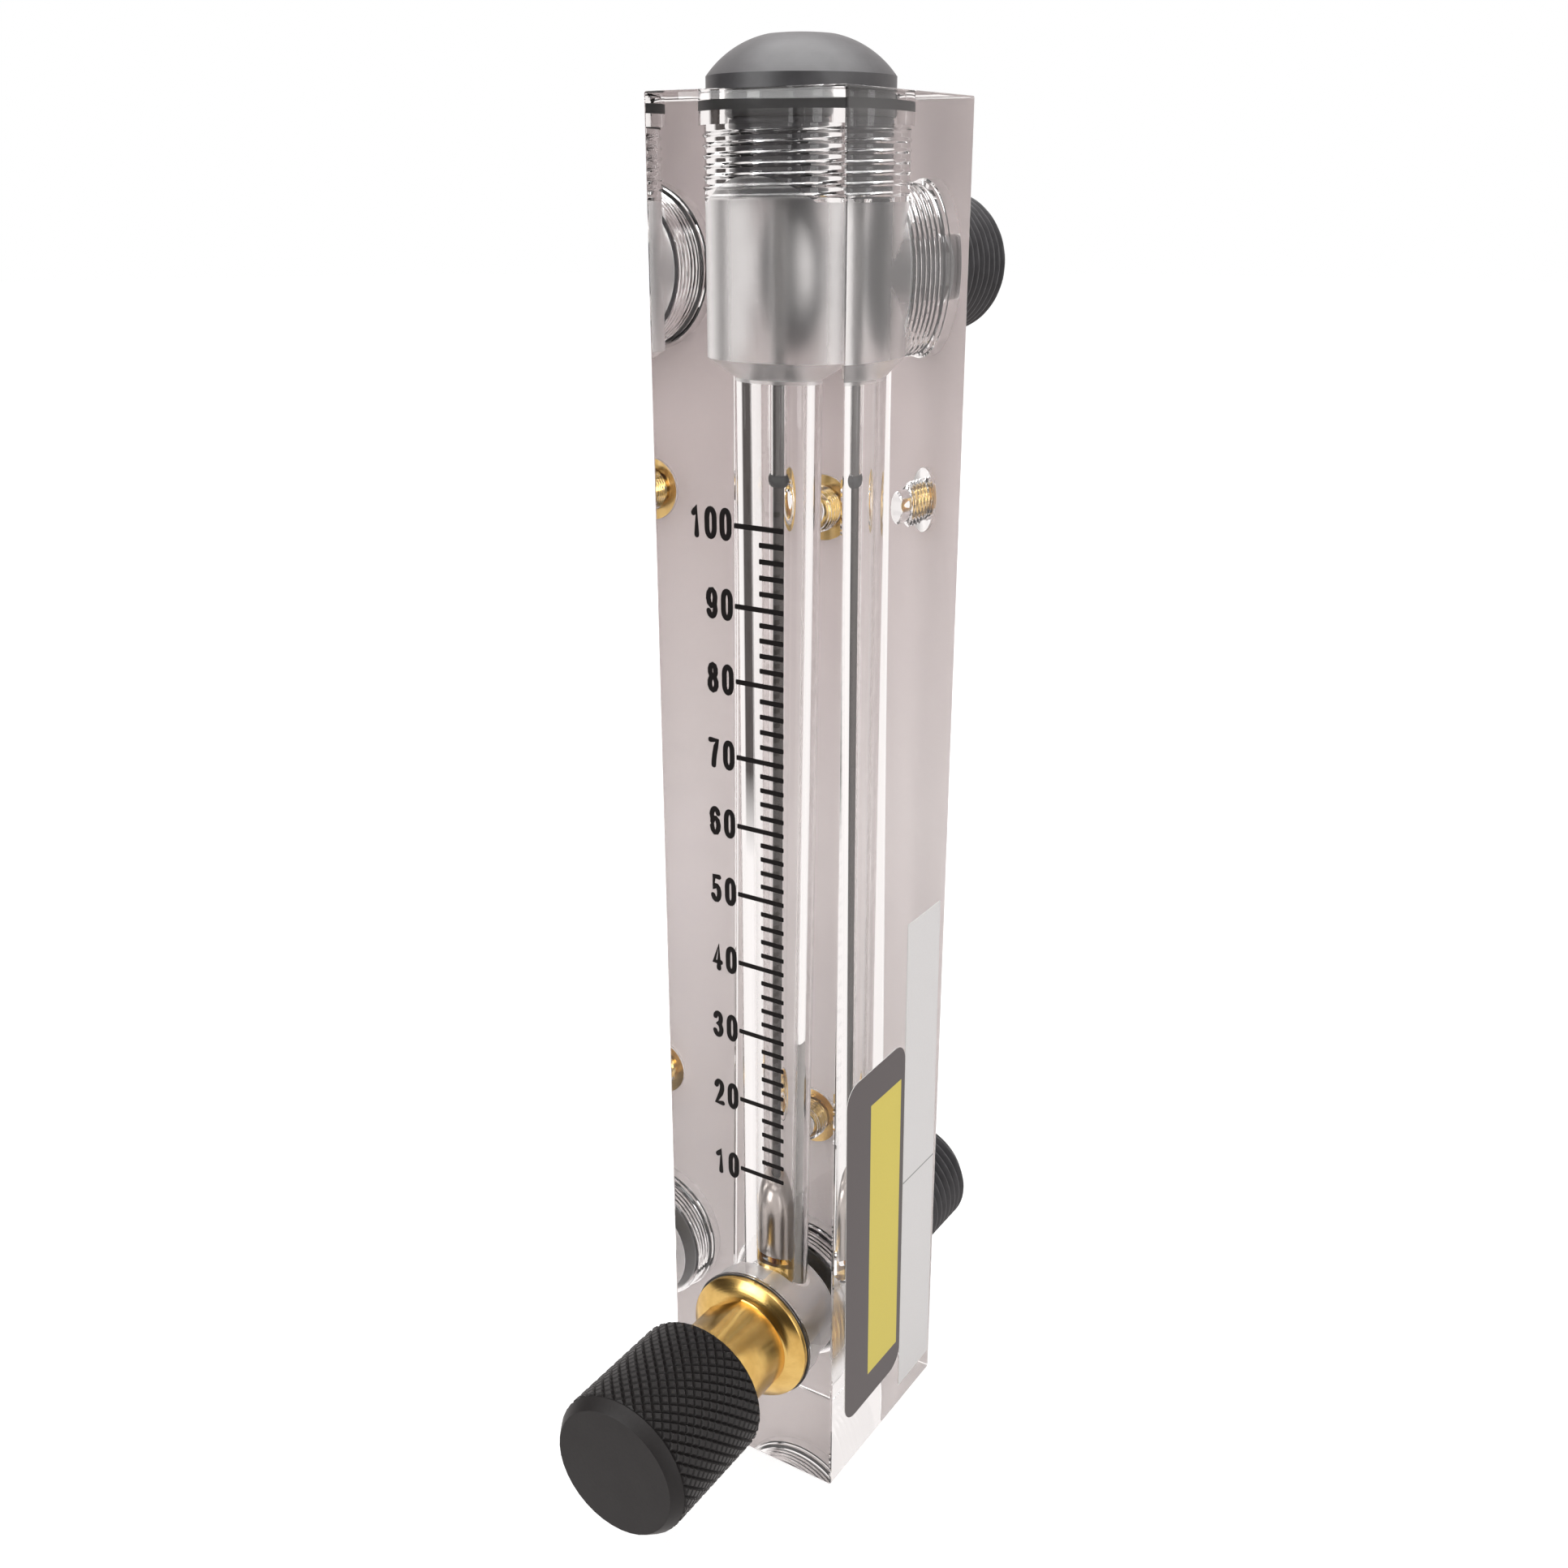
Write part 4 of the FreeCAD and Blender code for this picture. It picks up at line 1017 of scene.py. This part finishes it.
def round_corners(mesh, axis, radius, segments):
    """Round the four edges of a thin box that run along its thin way."""
    edges = [edge for edge in mesh.edges
             if abs(edge.verts[0].co[axis] - edge.verts[1].co[axis]) > INK / 2 * MM]
    bmesh.ops.bevel(mesh, geom=edges, offset=radius * MM, affect="EDGES", segments=segments,
                    profile=0.5, material=-1)


def add_tick(mesh, ends, z):
    left, right = ends
    tick = box_mesh(right - left, INK, TICK_HEIGHT)
    round_corners(tick, 1, 0.16, 3)
    bmesh.ops.translate(tick, vec=((left + right) / 2 * MM, FRONT_Y, z * MM), verts=tick.verts)
    flat = bpy.data.meshes.new("tick")
    tick.to_mesh(flat)
    tick.free()
    mesh.from_mesh(flat)
    bpy.data.meshes.remove(flat)


def scale_ink():
    paint = Paint("scale_ink")
    wear = paint.noise(paint.place(), 1500, 4.0, 0.6)
    color = paint.mix(wear, (0.003, 0.002, 0.002), (0.007, 0.005, 0.005))
    return paint.surface(base_color=color, roughness=0.45 + 0.2 * wear, specular_ior_level=0.15)


def scale_marks():
    mesh = bmesh.new()
    for index, z in enumerate(SCALE_TENS):
        add_tick(mesh, LONG_TICK, z)
        if index > 0:
            below = SCALE_TENS[index - 1]
            for part in range(1, 5):
                add_tick(mesh, SHORT_TICK, below + (z - below) * part / 5)
    for index, z in enumerate(SCALE_TENS):
        number = str(10 * (index + 1))
        for digit, (left, width) in zip(number, DIGIT_PLACES[len(number)]):
            add_digit(mesh, digit, left, width, z)
    return finish(mesh, "scale_marks", scale_ink(), 30)


dress(scale_marks(), "block", "dark_label")

# %% [markdown]
# Two film labels are stuck to the right face. From inside, the face behind them still mirrors,
# so each film stands off the acrylic by a hair and keeps a little air there, and its back is
# plain white paper. Both stay without any print: one is plain pale film, the other dark with a
# plain yellow field.

# %% Labels
LEAN = radians(0.8)
FILM = 0.10
RULE_Z = (0.04695, 0.04725)
FIELD_Y = (-0.0061, 0.0040)
FIELD_Z = (0.0147, 0.0685)
FIELD_MIDDLE_Z = 0.0423


def film(name, node, corner, material):
    low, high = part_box(node)
    centre = (low + high) / 2
    length = (high.z - low.z) / MM
    width = (high.y - low.y) / MM
    true_length = (length * cos(LEAN) - width * sin(LEAN)) / (cos(LEAN) ** 2 - sin(LEAN) ** 2)
    true_width = (width - true_length * sin(LEAN)) / cos(LEAN)
    true_length += 2 * corner * sin(LEAN)
    mesh = box_mesh(FILM, true_width, true_length)
    if corner > 0:
        round_corners(mesh, 0, corner, 8)
    turn = Matrix.Rotation(LEAN, 3, "X")
    bmesh.ops.rotate(mesh, cent=(0, 0, 0), matrix=turn, verts=mesh.verts)
    centre.x = high.x - FILM / 2 * MM
    bmesh.ops.translate(mesh, vec=centre, verts=mesh.verts)
    print(name, "true size", round(true_width, 2), round(true_length, 2))
    piece = finish(mesh, name, material, 30)
    piece.data.materials.append(film_back)
    for face in piece.data.polygons:
        face.material_index = 0 if face.normal.x > 0.5 else 1
    return dress(piece, "block", "pale_label" if corner == 0 else "dark_label", node)


def white_film():
    paint = Paint("film_back")
    paper = paint.noise(paint.place(), 3000, 3.0)
    color = paint.mix(paper, (0.74, 0.73, 0.71), (0.80, 0.79, 0.77))
    return paint.surface(base_color=color, roughness=0.6)


def pale_film():
    paint = Paint("pale_film")
    x, y, z = paint.split(paint.place())
    paper = paint.noise(paint.place(), 3000, 3.0)
    color = paint.mix(paper, (0.59, 0.575, 0.575), (0.66, 0.645, 0.645))
    color = paint.mix(z.between(*RULE_Z), color, (0.25, 0.25, 0.25))
    return paint.surface(base_color=color, roughness=0.4 + 0.15 * paper,
                         normal=paint.bump(paper, 0.00002, 0.3))


def dark_film():
    paint = Paint("dark_film")
    x, y, z = paint.split(paint.place())
    lean_y = y + (z - FIELD_MIDDLE_Z) * tan(LEAN)
    field = lean_y.between(*FIELD_Y) * z.between(*FIELD_Z)
    grain = paint.noise(paint.place(), 2500, 4.0, 0.6)
    dark = paint.mix(grain, (0.052, 0.042, 0.043), (0.078, 0.064, 0.065))
    yellow = paint.mix(grain, (0.56, 0.46, 0.055), (0.63, 0.52, 0.08))
    color = paint.mix(field, dark, yellow)
    return paint.surface(base_color=color, roughness=0.38 + 0.15 * grain,
                         normal=paint.bump(grain, 0.00002, 0.3))


film_back = white_film()
film("pale_label_film", "rating_sticker", 0, pale_film())
film("dark_label_film", "notice_sticker", 3.4, dark_film())

# %% [markdown]
# The camera stands where the photograph was taken.

# %% Camera
CAMERA_PLACE = (0.1276, -0.2070, 0.2083)
CAMERA_AZIMUTH = radians(32.616)
CAMERA_ELEVATION = radians(20.214)
CAMERA_LENS = 37.42


def add_camera():
    data = bpy.data.cameras.new("camera")
    data.sensor_width = 36
    data.lens = CAMERA_LENS
    data.clip_start = 0.01
    camera = bpy.data.objects.new("camera", data)
    bpy.context.scene.collection.objects.link(camera)
    level = cos(CAMERA_ELEVATION)
    back = Vector((sin(CAMERA_AZIMUTH) * level, -cos(CAMERA_AZIMUTH) * level,
                   sin(CAMERA_ELEVATION)))
    camera.rotation_mode = "QUATERNION"
    camera.rotation_quaternion = back.to_track_quat("Z", "Y")
    camera.location = CAMERA_PLACE
    bpy.context.scene.camera = camera
    return camera


camera = add_camera()
print("camera", [round(value, 4) for value in camera.location])

# %% [markdown]
# The floor is plain and pale. To the camera it is white with a faint shadow. In glass and metal
# it is a warm white with two dark parts. The one far out to the left gives the dark lines down
# the bore. The one to the front is seen in mirrors only, so it darkens the metal.

# %% Floor
STUDIO_WHITE = (1.0, 0.955, 0.94)
STUDIO_DARK = (0.055, 0.045, 0.042)
DARK_WAY = (-0.906, -0.423)
FRONT_WAY = (0.25, -0.97)


def light_path(paint, kind):
    return paint.add("ShaderNodeLightPath", output=f"Is {kind} Ray")


def seen_by_glass(paint):
    return light_path(paint, "Glossy").math("MAXIMUM", light_path(paint, "Transmission"))


def mirrored(paint):
    """1 where the place is seen in a mirror surface. A ray through glass counts as glossy too."""
    return light_path(paint, "Glossy") * (1 - light_path(paint, "Transmission"))


def toward(x, y, way):
    """1 for a place that way from the middle, -1 on the other side."""
    return (x * way[0] + y * way[1]) / distance(x, y).math("MAXIMUM", 0.001)


def dark_side(x, y):
    """1 towards the dark side of the studio, to the left and a little to the front."""
    return toward(x, y, DARK_WAY).ramp(0.80, 0.90)


def front_side(x, y):
    """1 towards the front, where the camera and the dark room behind it are."""
    return toward(x, y, FRONT_WAY).ramp(0.55, 0.9)


def floor_material():
    paint = Paint("pale_floor")
    camera_ray = light_path(paint, "Camera")
    grain = paint.noise(paint.place(), 12, 3.0)
    color = paint.mix(grain, (0.55, 0.54, 0.53), (0.58, 0.57, 0.56))
    plain = paint.add("ShaderNodeBsdfDiffuse", None, {"Color": color})
    shaded = paint.add("ShaderNodeBsdfDiffuse", None, {"Color": (0.30, 0.30, 0.30, 1)})
    lift = paint.add("ShaderNodeEmission", None, {"Color": (1, 1, 1, 1), "Strength": 0.80})
    white = paint.add("ShaderNodeAddShader", None, {0: shaded, 1: lift})
    x, y, z = paint.split(paint.place())
    reach = distance(x, y)
    sweep = paint.mix(dark_side(x, y) * reach.ramp(0.265, 0.345), STUDIO_WHITE, STUDIO_DARK)
    front = front_side(x, y) * mirrored(paint) * reach.ramp(0.12, 0.5)
    sweep = paint.mix(front, sweep, STUDIO_DARK)
    sweep = paint.add("ShaderNodeEmission", None, {"Color": sweep, "Strength": 1.0})
    other = paint.add("ShaderNodeMixShader", None, {0: seen_by_glass(paint), 1: plain, 2: sweep})
    both = paint.add("ShaderNodeMixShader", None, {0: camera_ray, 1: other, 2: white})
    paint.tree.links.new(both.socket, paint.end.inputs["Surface"])
    return paint.block


def add_floor():
    mesh = bmesh.new()
    bmesh.ops.create_circle(mesh, cap_ends=True, cap_tris=False, segments=96, radius=4.0)
    bmesh.ops.translate(mesh, vec=(0, 0, -0.0001), verts=mesh.verts)
    floor = finish(mesh, "floor", floor_material())


add_floor()

# %% [markdown]
# A clear block shows whatever surrounds it, so the studio is painted on the world: a warm white
# with the same two dark parts as the floor, low down. To rough surfaces it is a plain grey,
# brighter above. Soft area lamps give the shine on the plug and the knob.

# %% Studio


def studio():
    world = Paint("studio", world=True)
    bpy.context.scene.world = world.block
    x, y, z = world.split(world.add("ShaderNodeTexCoord", output="Generated"))
    camera_ray = light_path(world, "Camera")
    dark = dark_side(x, y) * (1 - z.ramp(0.3, 0.6))
    sweep = world.mix(dark, STUDIO_WHITE, STUDIO_DARK)
    front = front_side(x, y) * mirrored(world) * (1 - z.ramp(0.35, 0.7))
    sweep = world.mix(front, sweep, STUDIO_DARK)
    plain = world.mix(z.ramp(-0.2, 0.8), (0.50, 0.49, 0.48), (0.78, 0.78, 0.78))
    color = world.mix(seen_by_glass(world), plain, sweep)
    color = world.mix(camera_ray, color, (1.0, 1.0, 1.0))
    light = world.add("ShaderNodeBackground", None, {"Color": color, "Strength": 1.0})
    world.tree.links.new(light.socket, world.end.inputs["Surface"])


studio()

# %% Lamps
LAMP_TARGET = Vector((0, 0, 0.1))


def area_lamp(name, place, size, power):
    data = bpy.data.lights.new(name, "AREA")
    data.shape = "RECTANGLE"
    data.size, data.size_y = size
    data.energy = power
    lamp = bpy.data.objects.new(name, data)
    bpy.context.scene.collection.objects.link(lamp)
    lamp.location = place
    lamp.rotation_mode = "QUATERNION"
    lamp.rotation_quaternion = (Vector(place) - LAMP_TARGET).to_track_quat("Z", "Y")


area_lamp("overhead", (0.0, 0.05, 1.1), (1.2, 1.2), 13.0)
area_lamp("key", (-0.40, -1.0, 0.55), (0.6, 0.6), 6.0)
area_lamp("fill", (0.95, -0.35, 0.35), (0.4, 0.7), 2.0)

# %% View transform
bpy.context.scene.view_settings.view_transform = "Standard"
